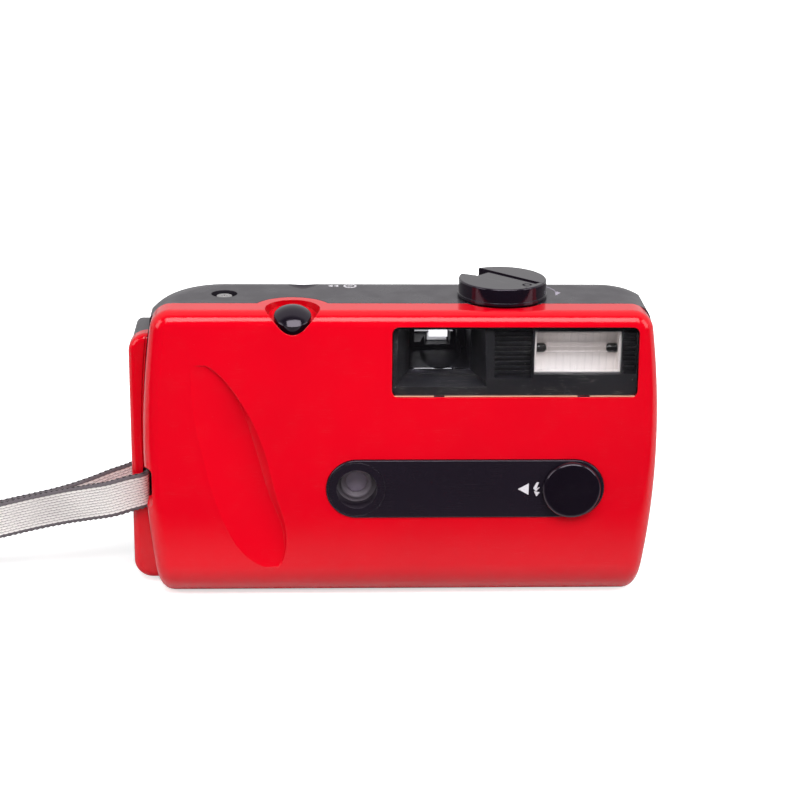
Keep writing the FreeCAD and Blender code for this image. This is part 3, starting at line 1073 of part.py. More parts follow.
def shutter_plate():
    y0, y1 = SHUTTER_REAR - SHUTTER_PLATE, SHUTTER_REAR
    plate = box(LENS_X - SHUTTER_HALF, LENS_X + SHUTTER_HALF, y0, y1, LENS_Z - SHUTTER_HALF,
                LENS_Z + SHUTTER_HALF)
    rim = box(LENS_X - SHUTTER_HALF, LENS_X + SHUTTER_HALF, y0 - BLADE_SPACE, y0,
              LENS_Z - SHUTTER_HALF, LENS_Z + SHUTTER_HALF)
    inside = box(LENS_X - SHUTTER_HALF + 0.9, LENS_X + SHUTTER_HALF - 0.9, y0 - BLADE_SPACE - 1, y0,
                 LENS_Z - SHUTTER_HALF + 0.9, LENS_Z + SHUTTER_HALF - 0.9)
    pivot = rod(BLADE_X, y0 - BLADE_SPACE + 0.05, BLADE_Z, 0.7, BLADE_SPACE, Y_AXIS)
    plate = fused([plate, rim.cut(inside), pivot])
    return plate.cut(rod(LENS_X, y0 - 2, LENS_Z, 1.5, 5, Y_AXIS))


def shutter_blade():
    """A thin blade over the aperture, on its pivot."""
    y0 = SHUTTER_REAR - SHUTTER_PLATE - 0.55
    thick = 0.2
    hub = rod(BLADE_X, y0, BLADE_Z, 1.6, thick, Y_AXIS)
    leaf = rod(LENS_X, y0, LENS_Z, 2.6, thick, Y_AXIS)
    across = V(LENS_X - BLADE_X, 0, LENS_Z - BLADE_Z).normalize()
    side = V(across.z, 0, -across.x)
    corners = [V(BLADE_X, y0, BLADE_Z) + side * 1.1, V(LENS_X, y0, LENS_Z) + side * 1.6,
               V(LENS_X, y0, LENS_Z) - side * 1.6, V(BLADE_X, y0, BLADE_Z) - side * 1.1]
    arm = Part.Face(Part.makePolygon(corners + [corners[0]])).extrude(V(0, thick, 0))
    return fused([hub, leaf, arm]).cut(rod(BLADE_X, y0 - 1, BLADE_Z, 0.7 + SHAFT_GAP, 3, Y_AXIS))


def finder_tube():
    """The finder's dark tunnel, from the window frame to the eyepiece."""
    x0, x1 = FINDER_X - FINDER_WIDTH / 2, FINDER_X + FINDER_WIDTH / 2
    z0, z1 = FINDER_Z - FINDER_HEIGHT / 2, FINDER_Z + FINDER_HEIGHT / 2
    foot = CEILING + CEILING_THICK
    y0, y1 = FRAME_REAR + 0.1, TOP_REAR - REAR_WALL - 0.2
    half = EYEPIECE_WIDTH / 2 + 0.2
    outer = box(x0 - 0.8, x1 + 0.8, y0, y1 - 6, foot, z1 + 0.8)
    throat = box(FINDER_X - half, FINDER_X + half, y1 - 7, y1, foot, FINDER_Z + EYEPIECE_HEIGHT / 2 - 0.2)
    tunnel = box(x0, x1, y0 - 1, y1 - 6.8, z0, z1)
    rear_way = box(FINDER_X - half + 0.8, FINDER_X + half - 0.8, y1 - 8, y1 + 1,
                   FINDER_Z - EYEPIECE_HEIGHT / 2 + 0.8, FINDER_Z + EYEPIECE_HEIGHT / 2 - 1.0)
    return fused([outer, throat]).common(inner_space()).cut(tunnel).cut(rear_way)


def finder_front_lens():
    x0, x1 = FINDER_X - FINDER_WIDTH / 2 + 0.05, FINDER_X + FINDER_WIDTH / 2 - 0.05
    z0, z1 = FINDER_Z - FINDER_HEIGHT / 2 + 0.05, FINDER_Z + FINDER_HEIGHT / 2 - 0.05
    pane = box(x0, x1, FINDER_FACE + 0.1, FRAME_REAR, z0, z1)
    return pane.cut(Part.makeSphere(16, V(FINDER_X, FINDER_FACE + 0.1 - 16 + 0.7, FINDER_Z)))


def eyepiece_frame():
    w, h = EYEPIECE_WIDTH / 2 - 0.05, EYEPIECE_HEIGHT / 2 - 0.05
    y0 = TOP_REAR - REAR_WALL - 0.1
    body = rounded_plate(FINDER_X - w - EYEPIECE_RIM, FINDER_X + w + EYEPIECE_RIM,
                         FINDER_Z - h - EYEPIECE_RIM, FINDER_Z + h + EYEPIECE_RIM, 2.0, y0, REAR)
    body = body.makeFillet(0.8, [e for e in body.Edges if abs(e.CenterOfMass.y - REAR) < 1e-3])
    body = body.cut(rear_blank(-0.05, RIGHT_STEP))
    neck = box(FINDER_X - w, FINDER_X + w, y0, TOP_REAR + 0.3, FINDER_Z - h, FINDER_Z + h)
    body = fused([body, neck])
    return body.cut(box(FINDER_X - w + 1.0, FINDER_X + w - 1.0, y0 - 1, REAR + 1,
                        FINDER_Z - h + 1.0, FINDER_Z + h - 1.0))


def finder_eyepiece():
    w, h = EYEPIECE_WIDTH / 2 - 1.1, EYEPIECE_HEIGHT / 2 - 1.1
    pane = box(FINDER_X - w, FINDER_X + w, TOP_REAR - 1.0, TOP_REAR + 0.8, FINDER_Z - h, FINDER_Z + h)
    return pane.common(Part.makeSphere(24, V(FINDER_X, TOP_REAR + 0.8 - 24, FINDER_Z)))


def flash_reflector():
    """A bright trough, open at the mouth and closed at both ends."""
    half = FLASH_HEIGHT / 2
    skin = 0.45
    tube_y = FLASH_MOUTH + FLASH_DEPTH - FLASH_TUBE_BACK

    def trough(extra, x0, x1):
        mouth = [V(x0, FLASH_MOUTH, FLASH_Z - half + extra), V(x0, FLASH_MOUTH, FLASH_Z + half - extra)]
        bottom = V(x0, FLASH_MOUTH + FLASH_DEPTH - extra, FLASH_Z)
        shape = [arc(mouth[0], bottom, mouth[1]), line(mouth[1], mouth[0])]
        return prism(shape, V(x1 - x0, 0, 0))
    outer = trough(0.0, FLASH_LEFT, FLASH_RIGHT)
    inner = trough(skin, FLASH_LEFT + skin, FLASH_RIGHT - skin)
    tube_holes = rod(FLASH_LEFT - 1, tube_y, FLASH_Z, FLASH_TUBE_R + SHAFT_GAP, FLASH_WIDTH + 2, X_AXIS)
    return outer.cut(inner).cut(tube_holes)


def flash_tube():
    y = FLASH_MOUTH + FLASH_DEPTH - FLASH_TUBE_BACK
    return rod(FLASH_LEFT - 0.05, y, FLASH_Z, FLASH_TUBE_R, FLASH_WIDTH + 0.1, X_AXIS)


def flash_lens():
    """The clear pane over the reflector, with fine upright prisms on its inner side."""
    y0 = FLASH_MOUTH - 0.75
    pane = box(FLASH_LEFT, FLASH_RIGHT, y0, FLASH_MOUTH - 0.05, FLASH_Z - FLASH_HEIGHT / 2,
               FLASH_Z + FLASH_HEIGHT / 2)
    pitch = FLASH_WIDTH / FLASH_PRISMS
    grooves = []
    for i in range(1, FLASH_PRISMS):
        x = FLASH_LEFT + i * pitch
        grooves.append(box(x - 0.12, x + 0.12, FLASH_MOUTH - 0.25, FLASH_MOUTH, 0, HEIGHT))
    return pane.cut(Part.makeCompound(grooves))


def circuit_board():
    foot = CEILING + CEILING_THICK
    board = box(REWIND_X + BOARD_FROM_REWIND, SHELL_RIGHT - BOARD_FROM_RIGHT, BOARD_Y, BOARD_Y + BOARD_THICK,
                foot, HEIGHT - 4.2)
    return board.common(inner_space())


def main_capacitor():
    x0 = REWIND_X + CAPACITOR_FROM_REWIND
    z = CEILING + CEILING_THICK + CAPACITOR_R + 0.1
    can = rod(x0, TOP_REAR - CAPACITOR_AHEAD, z, CAPACITOR_R, CAPACITOR_LENGTH, X_AXIS)
    middle = x0 + CAPACITOR_LENGTH / 2
    ends = [e for e in can.Edges if abs(e.CenterOfMass.x - middle) > CAPACITOR_LENGTH / 2 - 1]
    return can.makeFillet(0.6, ends)


def transformer():
    foot = CEILING + CEILING_THICK
    x0 = REWIND_X + CORE_FROM_REWIND
    y0 = BOARD_Y + BOARD_THICK
    core = box(x0, x0 + CORE_LENGTH, y0, y0 + CORE_DEPTH, foot + 1.0, foot + 1.0 + CORE_HEIGHT)
    winding = box(x0 + 1, x0 + CORE_LENGTH - 1, y0 + 0.3, y0 + CORE_DEPTH + 0.6, foot + 0.2,
                  foot + 1.8 + CORE_HEIGHT)
    return fused([core, winding])


def trigger_coil():
    x0 = REWIND_X + COIL_FROM_REWIND
    y = BOARD_Y + BOARD_THICK + 2.2
    z = CEILING + CEILING_THICK + 4.4
    coil = rod(x0, y, z, 1.8, COIL_LENGTH, X_AXIS)
    ends = [rod(x, y, z, 2.2, 0.6, X_AXIS) for x in (x0, x0 + COIL_LENGTH - 0.6)]
    return fused([coil] + ends)


def shutter_button():
    skirt = Part.makeCylinder(BUTTON_R, BUTTON_RISE - SKIRT_FOOT, BUTTON_CENTRE + BUTTON_AXIS * SKIRT_FOOT,
                              BUTTON_AXIS)
    base = BUTTON_CENTRE + BUTTON_AXIS * BUTTON_RISE
    sphere_r = (BUTTON_R ** 2 + BUTTON_DOME ** 2) / (2 * BUTTON_DOME)
    ball = Part.makeSphere(sphere_r, base - BUTTON_AXIS * (sphere_r - BUTTON_DOME))
    dome = ball.common(Part.makeCylinder(BUTTON_R, BUTTON_DOME + 1, base, BUTTON_AXIS))
    stem = Part.makeCylinder(BUTTON_STEM_R, 6.4, BUTTON_CENTRE - BUTTON_AXIS * 6.0, BUTTON_AXIS)
    return fused([skirt, dome, stem])


def tangent_arc(first, way, last):
    """The arc from first to last that starts in the direction way."""
    chord = last - first
    side = way - chord * (way.dot(chord) / chord.dot(chord))
    angle = way.getAngle(chord)
    middle = first + chord * 0.5 + side.normalize() * (chord.Length / 2 * math.tan(angle / 2))
    return arc(first, middle, last)


def coil_spring(radius, wire, length, turns):
    """A coil spring on the Z axis, its wire on arcs of half a turn, from z = 0 to length."""
    height = length - 2 * wire
    rise = height / turns

    def place(t):
        angle = 2 * math.pi * t
        return V(radius * math.cos(angle), radius * math.sin(angle), wire + rise * t)

    def heading(t):
        angle = 2 * math.pi * t
        return V(-radius * math.sin(angle), radius * math.cos(angle), rise / (2 * math.pi)).normalize()

    edges = []
    steps = turns * 4
    for i in range(steps):
        a, b = i / 4, (i + 1) / 4
        p, q, u, w = place(a), place(b), heading(a), heading(b)
        gap, sum_way, bend = q - p, u + w, 2 * (1 - u.dot(w))
        reach = (math.sqrt(gap.dot(sum_way) ** 2 + bend * gap.dot(gap)) - gap.dot(sum_way)) / bend
        joint = (p + u * reach + q - w * reach) * 0.5
        edges.append(tangent_arc(p, u, joint))
        back = tangent_arc(q, w * -1, joint)
        edges.append(back)
    path = Part.Wire(Part.__sortEdges__(edges))
    section = Part.Wire([Part.makeCircle(wire / 2, place(0), heading(0))])
    return path.makePipeShell([section], True, False)


def turned_to(shape, centre, axis):
    shape = shape.copy()
    shape.Placement = FreeCAD.Placement(centre, FreeCAD.Rotation(Z_AXIS, axis))
    return shape


def button_spring():
    spring = coil_spring(2.3, 0.3, SKIRT_FOOT + BUTTON_SINK - 0.1, 3)
    return turned_to(spring, BUTTON_CENTRE - BUTTON_AXIS * (BUTTON_SINK - 0.05), BUTTON_AXIS)


def gear(x, y, z, teeth, thick, bore, phase):
    """A spur gear with plain flanks and a little backlash."""
    pitch_r = GEAR_MODULE * teeth / 2
    tip, root = pitch_r + 0.8 * GEAR_MODULE, pitch_r - 1.05 * GEAR_MODULE
    step = 2 * math.pi / teeth
    points = []
    for i in range(teeth):
        middle = phase + i * step
        for radius, share in ((root, -0.34), (tip, -0.10), (tip, 0.10), (root, 0.34)):
            angle = middle + share * step
            points.append(V(x + radius * math.cos(angle), y + radius * math.sin(angle), z))
    blank = Part.Face(Part.makePolygon(points + [points[0]])).extrude(V(0, 0, thick))
    return blank.cut(rod(x, y, z - 1, bore, thick + 2))


def advance_wheel():
    disc = rod(SPROCKET_X, SPROCKET_Y, WHEEL_FOOT, WHEEL_R, WHEEL_THICK)
    notches = []
    for i in range(WHEEL_NOTCHES):
        angle = 2 * math.pi * i / WHEEL_NOTCHES
        x = SPROCKET_X + (WHEEL_R + 0.1) * math.cos(angle)
        y = SPROCKET_Y + (WHEEL_R + 0.1) * math.sin(angle)
        notches.append(rod(x, y, WHEEL_FOOT - 1, 0.34, WHEEL_THICK + 2))
    disc = disc.cut(Part.makeCompound(notches))
    hub_foot = GEAR_FOOT + GEAR_THICK - 0.2
    hub = rod(SPROCKET_X, SPROCKET_Y, hub_foot, 3.0, WHEEL_FOOT - hub_foot + 0.2)
    drive = gear(SPROCKET_X, SPROCKET_Y, GEAR_FOOT, WHEEL_TEETH, GEAR_THICK, SHAFT_R + 0.01, WHEEL_PHASE)
    return fused([disc, hub, drive]).cut(rod(SPROCKET_X, SPROCKET_Y, 0, SHAFT_R + 0.01, HEIGHT))


def sprocket():
    shaft = rod(SPROCKET_X, SPROCKET_Y, FLOOR_Z + 0.1, SHAFT_R, WHEEL_FOOT + WHEEL_THICK - FLOOR_Z - 0.1)
    sleeve = rod(SPROCKET_X, SPROCKET_Y, FLOOR_TOP + 0.2, 2.2, CEILING - FLOOR_TOP - 0.4)
    pieces = [shaft, sleeve]
    for s in (-1, 1):
        z = LENS_Z + s * PERFORATION_ROW
        pieces.append(rod(SPROCKET_X, SPROCKET_Y, z - 0.9, SPROCKET_R, 1.8))
        for i in range(SPROCKET_TEETH):
            angle = 2 * math.pi * (i + 0.5) / SPROCKET_TEETH
            way = V(math.cos(angle), math.sin(angle), 0)
            foot = V(SPROCKET_X, SPROCKET_Y, z) + way * (SPROCKET_R - 0.4)
            pieces.append(Part.makeCone(0.8, 0.45, 1.4, foot, way))
    return fused(pieces)


def take_up_spool():
    low, high = LENS_Z - FILM_WIDTH / 2 - 1.4, LENS_Z + FILM_WIDTH / 2 + 1.4
    core = rod(SPOOL_X, SPOOL_Y, FLOOR_TOP + 0.2, SPOOL_CORE_R, CEILING - FLOOR_TOP - 0.4)
    flanges = [rod(SPOOL_X, SPOOL_Y, z, SPOOL_R, 0.9) for z in (low - 0.9, high)]
    shaft = rod(SPOOL_X, SPOOL_Y, FLOOR_Z + 0.1, SHAFT_R, GEAR_FOOT + GEAR_THICK - FLOOR_Z - 0.1)
    reach = SPOOL_CORE_R + 1
    slot = box(SPOOL_X - reach, SPOOL_X + reach, SPOOL_Y + SPOOL_CORE_R - 1.5, SPOOL_Y + SPOOL_CORE_R - 0.8,
               low + 6, high - 6)
    return fused([core, shaft] + flanges).cut(slot)


def spool_gear():
    return gear(SPOOL_X, SPOOL_Y, GEAR_FOOT, SPOOL_TEETH, GEAR_THICK, SHAFT_R + 0.01, SPOOL_PHASE)


def idler_gear():
    return gear(IDLER_X, IDLER_Y, GEAR_FOOT, IDLER_TEETH, GEAR_THICK, SHAFT_R + SHAFT_GAP, IDLER_PHASE)


def counter_dial():
    drum = rod(DIAL_X, DIAL_Y, WHEEL_FOOT, DIAL_R, WHEEL_THICK)
    drum = drum.cut(rod(DIAL_X, DIAL_Y, WHEEL_FOOT + 1, DIAL_R - 1, WHEEL_THICK))
    hub = rod(DIAL_X, DIAL_Y, WHEEL_FOOT, 2.2, WHEEL_THICK - 0.6)
    base = rod(DIAL_X, DIAL_Y, CEILING + CEILING_THICK + 0.1, 2.0, WHEEL_FOOT - CEILING - CEILING_THICK)
    notches = [rod(DIAL_X + DIAL_R * math.cos(a), DIAL_Y + DIAL_R * math.sin(a), WHEEL_FOOT - 1, 0.25, 1.8)
               for a in [2 * math.pi * i / 26 for i in range(26)]]
    dial = fused([drum, hub, base]).cut(Part.makeCompound(notches))
    return dial.cut(rod(DIAL_X, DIAL_Y, 0, 1.2 + SHAFT_GAP, HEIGHT))


def counter_window():
    return box(DIAL_X - 2.15, DIAL_X + 2.15, TOP_REAR - REAR_WALL + 0.2, TOP_REAR - 0.3,
               WHEEL_FOOT + 0.25, WHEEL_FOOT + 3.35)


def rewind_collar():
    """The friction collar that the rewind shaft turns in and lifts with."""
    return ring(REWIND_X, REWIND_Y, COLLAR_FOOT, GUIDE_R - SHAFT_GAP, REWIND_SHAFT_R + SHAFT_GAP,
                COLLAR_THICK)


def rewind_shaft():
    shaft = rod(REWIND_X, REWIND_Y, FORK_FOOT, REWIND_SHAFT_R, KNOB_FOOT + 0.8 - FORK_FOOT)
    stop = ring(REWIND_X, REWIND_Y, COLLAR_FOOT - STOP_THICK - 0.05, REWIND_SHAFT_R + 0.8,
                REWIND_SHAFT_R - 0.1, STOP_THICK)
    slot = box(REWIND_X - 3, REWIND_X + 3, REWIND_Y - 0.7, REWIND_Y + 0.7, FORK_FOOT - 1, FORK_FOOT + 3.0)
    return fused([shaft, stop]).cut(slot)


def on_crank(along, side, z=0.0):
    """A point given along the crank and beside it, from the knob's centre."""
    place = V(REWIND_X, REWIND_Y, z) + CRANK_WAY * along + CRANK_SIDE * (CRANK_OFFSET + side)
    return place


def crank_block(along0, along1, side0, side1, z0, z1, flare=0.0):
    """A block with its sides along the crank; flare widens its first end towards side0."""
    corners = [on_crank(along0, side0 - flare, z0), on_crank(along1, side0, z0), on_crank(along1, side1, z0),
               on_crank(along0, side1, z0)]
    return Part.Face(Part.makePolygon(corners + [corners[0]])).extrude(V(0, 0, z1 - z0))


def crank_space():
    """The crank's own room in the knob's top, and the finger notch at its free end."""
    half = CRANK_WIDTH / 2 + CRANK_CLEAR
    reach = REWIND_KNOB_R + 2
    high = KNOB_TOP + 3
    bed = crank_block(-CRANK_FREE - 0.2, CRANK_LONG + CRANK_ROOM, -half, half,
                      KNOB_TOP - CRANK_SINK - CRANK_THICK - CRANK_CLEAR, high)
    notch = crank_block(-reach, -CRANK_FREE, -half, half, KNOB_TOP - FINGER_DEPTH, high, FINGER_FLARE)
    return bed.fuse(notch)


def crank_pin_place():
    return on_crank(CRANK_LONG, 0.0, KNOB_TOP - CRANK_SINK - CRANK_THICK / 2)


def rewind_knob():
    disc = rod(REWIND_X, REWIND_Y, KNOB_FOOT, REWIND_KNOB_R, KNOB_TOP - KNOB_FOOT)
    disc = disc.makeFillet(0.35, [e for e in disc.Edges if e.CenterOfMass.z > KNOB_TOP - 0.01])
    flange = rod(REWIND_X, REWIND_Y, KNOB_FOOT, REWIND_FLANGE_R, REWIND_FLANGE_HEIGHT)
    half = CRANK_WIDTH / 2 + CRANK_CLEAR
    lines = [crank_block(CRANK_LONG, REWIND_KNOB_R + 1, s * half - RIM_GROOVE / 2, s * half + RIM_GROOVE / 2,
                         KNOB_TOP - 0.2, KNOB_TOP + 1) for s in (-1, 1)]
    hole_half = CRANK_WIDTH / 2 + 1.2
    pin_hole = Part.makeCylinder(CRANK_PIN_R + 0.01, 2 * hole_half,
                                 crank_pin_place() - CRANK_SIDE * hole_half, CRANK_SIDE)
    socket = rod(REWIND_X, REWIND_Y, KNOB_FOOT - 1, REWIND_SHAFT_R + 0.01, 1.0 + 0.8)
    return without(fused([disc, flange]), crank_space(), pin_hole, socket, *lines)


def crank_lever():
    """The fold-out rewind crank, a little below the knob's top when folded."""
    pin = crank_pin_place()
    half = CRANK_WIDTH / 2
    top = KNOB_TOP - CRANK_SINK
    bar = crank_block(-CRANK_FREE, CRANK_LONG, -half, half, top - CRANK_THICK, top)
    brow = crank_block(CRANK_LONG - 0.1, CRANK_LONG + CRANK_THICK / 2, -half, half, pin.z, top)
    root = Part.makeCylinder(CRANK_THICK / 2, CRANK_WIDTH, pin - CRANK_SIDE * half, CRANK_SIDE)
    mark = on_crank(CRANK_RING, 0.0, top - 0.25)
    groove = ring(mark.x, mark.y, mark.z, CRANK_RING_R, CRANK_RING_R - 0.42, 1.0)
    bore = Part.makeCylinder(CRANK_PIN_R + SHAFT_GAP, CRANK_WIDTH + 2, pin - CRANK_SIDE * (half + 1),
                             CRANK_SIDE)
    return without(fused([bar, brow, root]), groove, bore)


def crank_pin():
    half = CRANK_WIDTH / 2 + 1.0
    return Part.makeCylinder(CRANK_PIN_R, 2 * half, crank_pin_place() - CRANK_SIDE * half, CRANK_SIDE)


def ready_lamp():
    body = rod(LAMP_X, LAMP_Y, HEIGHT - 4.0, LAMP_R, 3.0)
    dome = Part.makeSphere(LAMP_R + 0.3, V(LAMP_X, LAMP_Y, HEIGHT - 2.0))
    return fused([body, dome.common(rod(LAMP_X, LAMP_Y, HEIGHT - 1.2, LAMP_R, 3))])


def battery_door():
    z0 = BATTERY_DOOR_ABOVE
    y0, y1 = BATTERY_DOOR_FRONT, BAY_REAR
    plate = box(BATTERY_X - BAY_HALF, BATTERY_X + BAY_HALF, y0, y1, z0, z0 + BATTERY_DOOR_THICK)
    edge = BATTERY_X + BAY_HALF - 0.8
    corners = [box(edge, edge + 2, y, y + HINGE_NOTCH, -1, 3) for y in (y0, y1 - HINGE_NOTCH)]
    plate = without(plate, *corners)
    barrel = rod(BATTERY_HINGE_X, y0 + 2, BATTERY_HINGE_Z, BARREL_HALF, y1 - y0 - 4, Y_AXIS)
    pin = rod(BATTERY_HINGE_X, y0 + 1, BATTERY_HINGE_Z, BARREL_PIN_R, y1 - y0 - 2, Y_AXIS)
    arm = box(BATTERY_X + BAY_HALF - 0.5, BATTERY_HINGE_X, y0 + 2, y1 - 2, BATTERY_HINGE_Z - 0.5,
              BATTERY_HINGE_Z + 0.5)
    first = BATTERY_X - BAY_HALF + 1.2
    grooves = [box(first + i, first + i + 0.4, y0 + 6, y1 - 6, z0 - 1, z0 + 0.35) for i in range(4)]
    return fused([plate, arm, barrel, pin]).cut(Part.makeCompound(grooves))


def door_contact():
    """The metal bridge on the battery door that joins both cells."""
    z0 = BATTERY_DOOR_ABOVE + BATTERY_DOOR_THICK
    middle = (BAY_FRONT + BAY_REAR) / 2
    return box(BATTERY_X - 3.0, BATTERY_X + 3.0, middle - 8.6, middle + 8.6, z0, z0 + CONTACT_THICK)


def battery_contacts():
    """The two metal contacts at the top of the battery bay."""
    middle = (BAY_FRONT + BAY_REAR) / 2
    plates = []
    for s in (-1, 1):
        y = middle + s * (CELL_R + BAY_CLEAR / 2)
        plates.append(box(BATTERY_X - 3.4, BATTERY_X + 3.4, y - 3.4, y + 3.4,
                          BAY_TOP - CONTACT_THICK, BAY_TOP))
    return Part.makeCompound(plates)


def release_button():
    pin = rod(RELEASE_X, RELEASE_Y, RELEASE_ABOVE, RELEASE_R, 2.6)
    head = rod(RELEASE_X, RELEASE_Y, RELEASE_ABOVE + 2.6, RELEASE_R + 0.8, 0.8)
    return fused([pin, head])


def release_spring():
    z = RELEASE_ABOVE + 3.4
    spring = coil_spring(1.8, 0.35, RELEASE_POCKET - z - 0.1, 4)
    return turned_to(spring, V(RELEASE_X, RELEASE_Y, z + 0.05), Z_AXIS)


def tripod_socket():
    socket = rod(TRIPOD_X, TRIPOD_Y, 0.0, TRIPOD_OUTER_R - 0.02, TRIPOD_DEPTH)
    return socket.cut(rod(TRIPOD_X, TRIPOD_Y, -1, TRIPOD_R, TRIPOD_DEPTH + 2))


def cross_head_screw(length):
    """A pan-head screw on the Z axis, its seat at z = 0 and its thread below."""
    head = rod(0, 0, 0, SCREW_HEAD_R, SCREW_HEAD)
    shank = rod(0, 0, -length, SCREW_R - 0.02, length)
    cross = [box(-a, a, -b, b, SCREW_HEAD / 2, SCREW_HEAD + 1) for a, b in ((1.1, 0.18), (0.18, 1.1))]
    return without(fused([head, shank]), *cross)


def case_screws():
    """One screw in the top cover's recess, two in the underside."""
    top = turned_to(cross_head_screw(6.0), V(RECESS_X, RECESS_Y, HEIGHT - RECESS_DEPTH), Z_AXIS)
    under = [turned_to(cross_head_screw(4.0), V(x, y, SCREW_SEAT), Z_AXIS * -1) for x, y in FLOOR_SCREWS]
    return Part.makeCompound([top] + under)


# Wrist strap: the route of its middle line, chosen by hand, from behind the bar round the far end and back
STRAP_ROUTE = [
    (-55.1, -2.2, 23.5), (-55.3, 0.6, 23.5), (-55.1, 3.4, 23.3), (-59.6, 3.3, 21.3), (-63.5, 2.6, 20.4),
    (-68.5, 0.4, 19.0), (-75.0, -1.0, 17.2), (-84.0, -1.3, 15.2), (-96.0, -0.9, 12.2), (-108.0, 0.6, 9.3),
    (-121.0, 3.6, 6.6), (-136.0, 7.6, 4.6), (-153.0, 11.0, 4.3), (-170.0, 11.8, 4.3), (-186.0, 8.6, 4.3),
    (-196.0, 1.6, 4.3), (-197.0, -7.0, 4.3), (-188.0, -14.0, 4.3), (-173.0, -17.0, 4.3),
    (-156.0, -16.0, 4.3), (-139.0, -12.6, 4.6), (-123.0, -8.4, 6.4), (-109.0, -5.2, 9.2),
    (-96.0, -3.6, 12.4), (-84.0, -3.4, 15.5),
    (-75.0, -3.9, 17.7), (-68.5, -5.6, 19.4), (-63.5, -7.6, 20.9), (-59.6, -8.1, 22.4),
    (-55.1, -8.1, 23.5), (-55.3, -5.2, 23.5), (-55.1, -2.3, 23.5),
]


def rounded_path(points):
    """Straight runs joined by tangent arcs as large as the runs allow."""
    points = [V(*p) for p in points]
    edges, radii = [], []
    here = points[0]
    for before, corner, after in zip(points, points[1:], points[2:]):
        back, ahead = (before - corner), (after - corner)
        reach = 0.45 * min(back.Length, ahead.Length)
        back_way, ahead_way = V(back).normalize(), V(ahead).normalize()
        half_turn = (math.pi - back_way.getAngle(ahead_way)) / 2
        radius = reach / math.tan(half_turn)
        first, last = corner + back_way * reach, corner + ahead_way * reach
        bisector = (back_way + ahead_way).normalize()
        middle = corner + bisector * (radius / math.cos(half_turn) - radius)
        edges.append(line(here, first))
        edges.append(arc(first, middle, last))
        radii.append(radius)
        here = last
    edges.append(line(here, points[-1]))
    return Part.Wire(edges), radii


def wrist_strap():
    path, radii = rounded_path(STRAP_ROUTE)
    start = V(*STRAP_ROUTE[0])
    way = (V(*STRAP_ROUTE[1]) - start).normalize()
    across = way.cross(Z_AXIS).normalize() * (STRAP_THICK / 2)
    up = Z_AXIS * (STRAP_WIDTH / 2)
    corners = [start + across + up, start - across + up, start - across - up, start + across - up]
    section = Part.makePolygon(corners + [corners[0]])
    pipe = Part.BRepOffsetAPI.MakePipeShell(path)
    pipe.setBiNormalMode(Z_AXIS)
    pipe.setTransitionMode(0)
    pipe.add(section, False, False)
    pipe.build()
    pipe.makeSolid()
    strap = pipe.shape()
    print("strap length %.1f, volume %.0f against %.0f" % (
        path.Length, strap.Volume, path.Length * STRAP_WIDTH * STRAP_THICK))
    print("strap radii", [round(radius, 1) for radius in radii])
    return strap


PIECES = [
    front_cover, top_cover, rear_cover, side_cover, back_door, hinge_pin, film_window, light_seals,
    door_latch, pressure_plate, pressure_spring, chassis, window_frame, front_window, lens_plate,
    flash_switch, lens_barrel, front_lens, rear_lens, shutter_plate, shutter_blade, finder_tube,
    finder_front_lens, eyepiece_frame,
    finder_eyepiece, flash_reflector, flash_tube, flash_lens, circuit_board, main_capacitor, transformer,
    trigger_coil, shutter_button, button_spring, advance_wheel, sprocket, take_up_spool, spool_gear,
    idler_gear, counter_dial, counter_window, rewind_collar, rewind_shaft, rewind_knob, crank_lever,
    crank_pin, ready_lamp, battery_door, door_contact, battery_contacts, release_button,
    release_spring, tripod_socket, case_screws,
    wrist_strap,
]


def main():
    os.makedirs("parts", exist_ok=True)
    for piece in PIECES:
        shape = piece()
        if not shape.isValid():
            print("not valid:", piece.__name__)
        shape.exportStep("parts/%s.step" % piece.__name__)


if __name__ == "__main__":
    main()
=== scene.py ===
"""A compact film camera: the finish of every part, its wrist strap, its printed marks and its studio.

Lengths are metres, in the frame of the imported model: X to the right of the photograph, Y away from the
lens and Z up. MM turns the millimetres in which the sizes are written into metres.
"""

import logging
import math
from collections.abc import Callable, Iterable, Sequence
from dataclasses import dataclass, field
from enum import Enum

import bmesh
import bpy
from mathutils import Matrix, Vector
from mathutils.bvhtree import BVHTree


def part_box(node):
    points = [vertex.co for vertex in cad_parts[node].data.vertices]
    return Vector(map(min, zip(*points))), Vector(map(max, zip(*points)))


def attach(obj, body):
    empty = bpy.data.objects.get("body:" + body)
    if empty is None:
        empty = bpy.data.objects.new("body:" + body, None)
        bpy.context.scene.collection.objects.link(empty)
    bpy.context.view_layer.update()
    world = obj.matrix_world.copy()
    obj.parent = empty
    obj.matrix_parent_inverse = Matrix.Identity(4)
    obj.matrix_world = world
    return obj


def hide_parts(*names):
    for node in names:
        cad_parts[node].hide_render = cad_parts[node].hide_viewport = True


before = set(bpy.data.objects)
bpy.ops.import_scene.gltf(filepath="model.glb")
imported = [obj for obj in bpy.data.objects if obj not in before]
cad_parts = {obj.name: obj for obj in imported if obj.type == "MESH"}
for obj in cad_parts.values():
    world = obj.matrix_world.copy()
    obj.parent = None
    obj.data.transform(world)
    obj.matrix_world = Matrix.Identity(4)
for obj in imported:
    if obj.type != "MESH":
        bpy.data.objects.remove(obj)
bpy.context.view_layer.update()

MM = 0.001
log = logging.getLogger("camera")

Colour = tuple[float, float, float, float]
Outline = list[tuple[float, float]]


class Body(str, Enum):
    """The bodies that the added pieces ride on."""

    CAMERA = "camera"
    DIAL = "dial"
    KNOB = "rewind_knob"


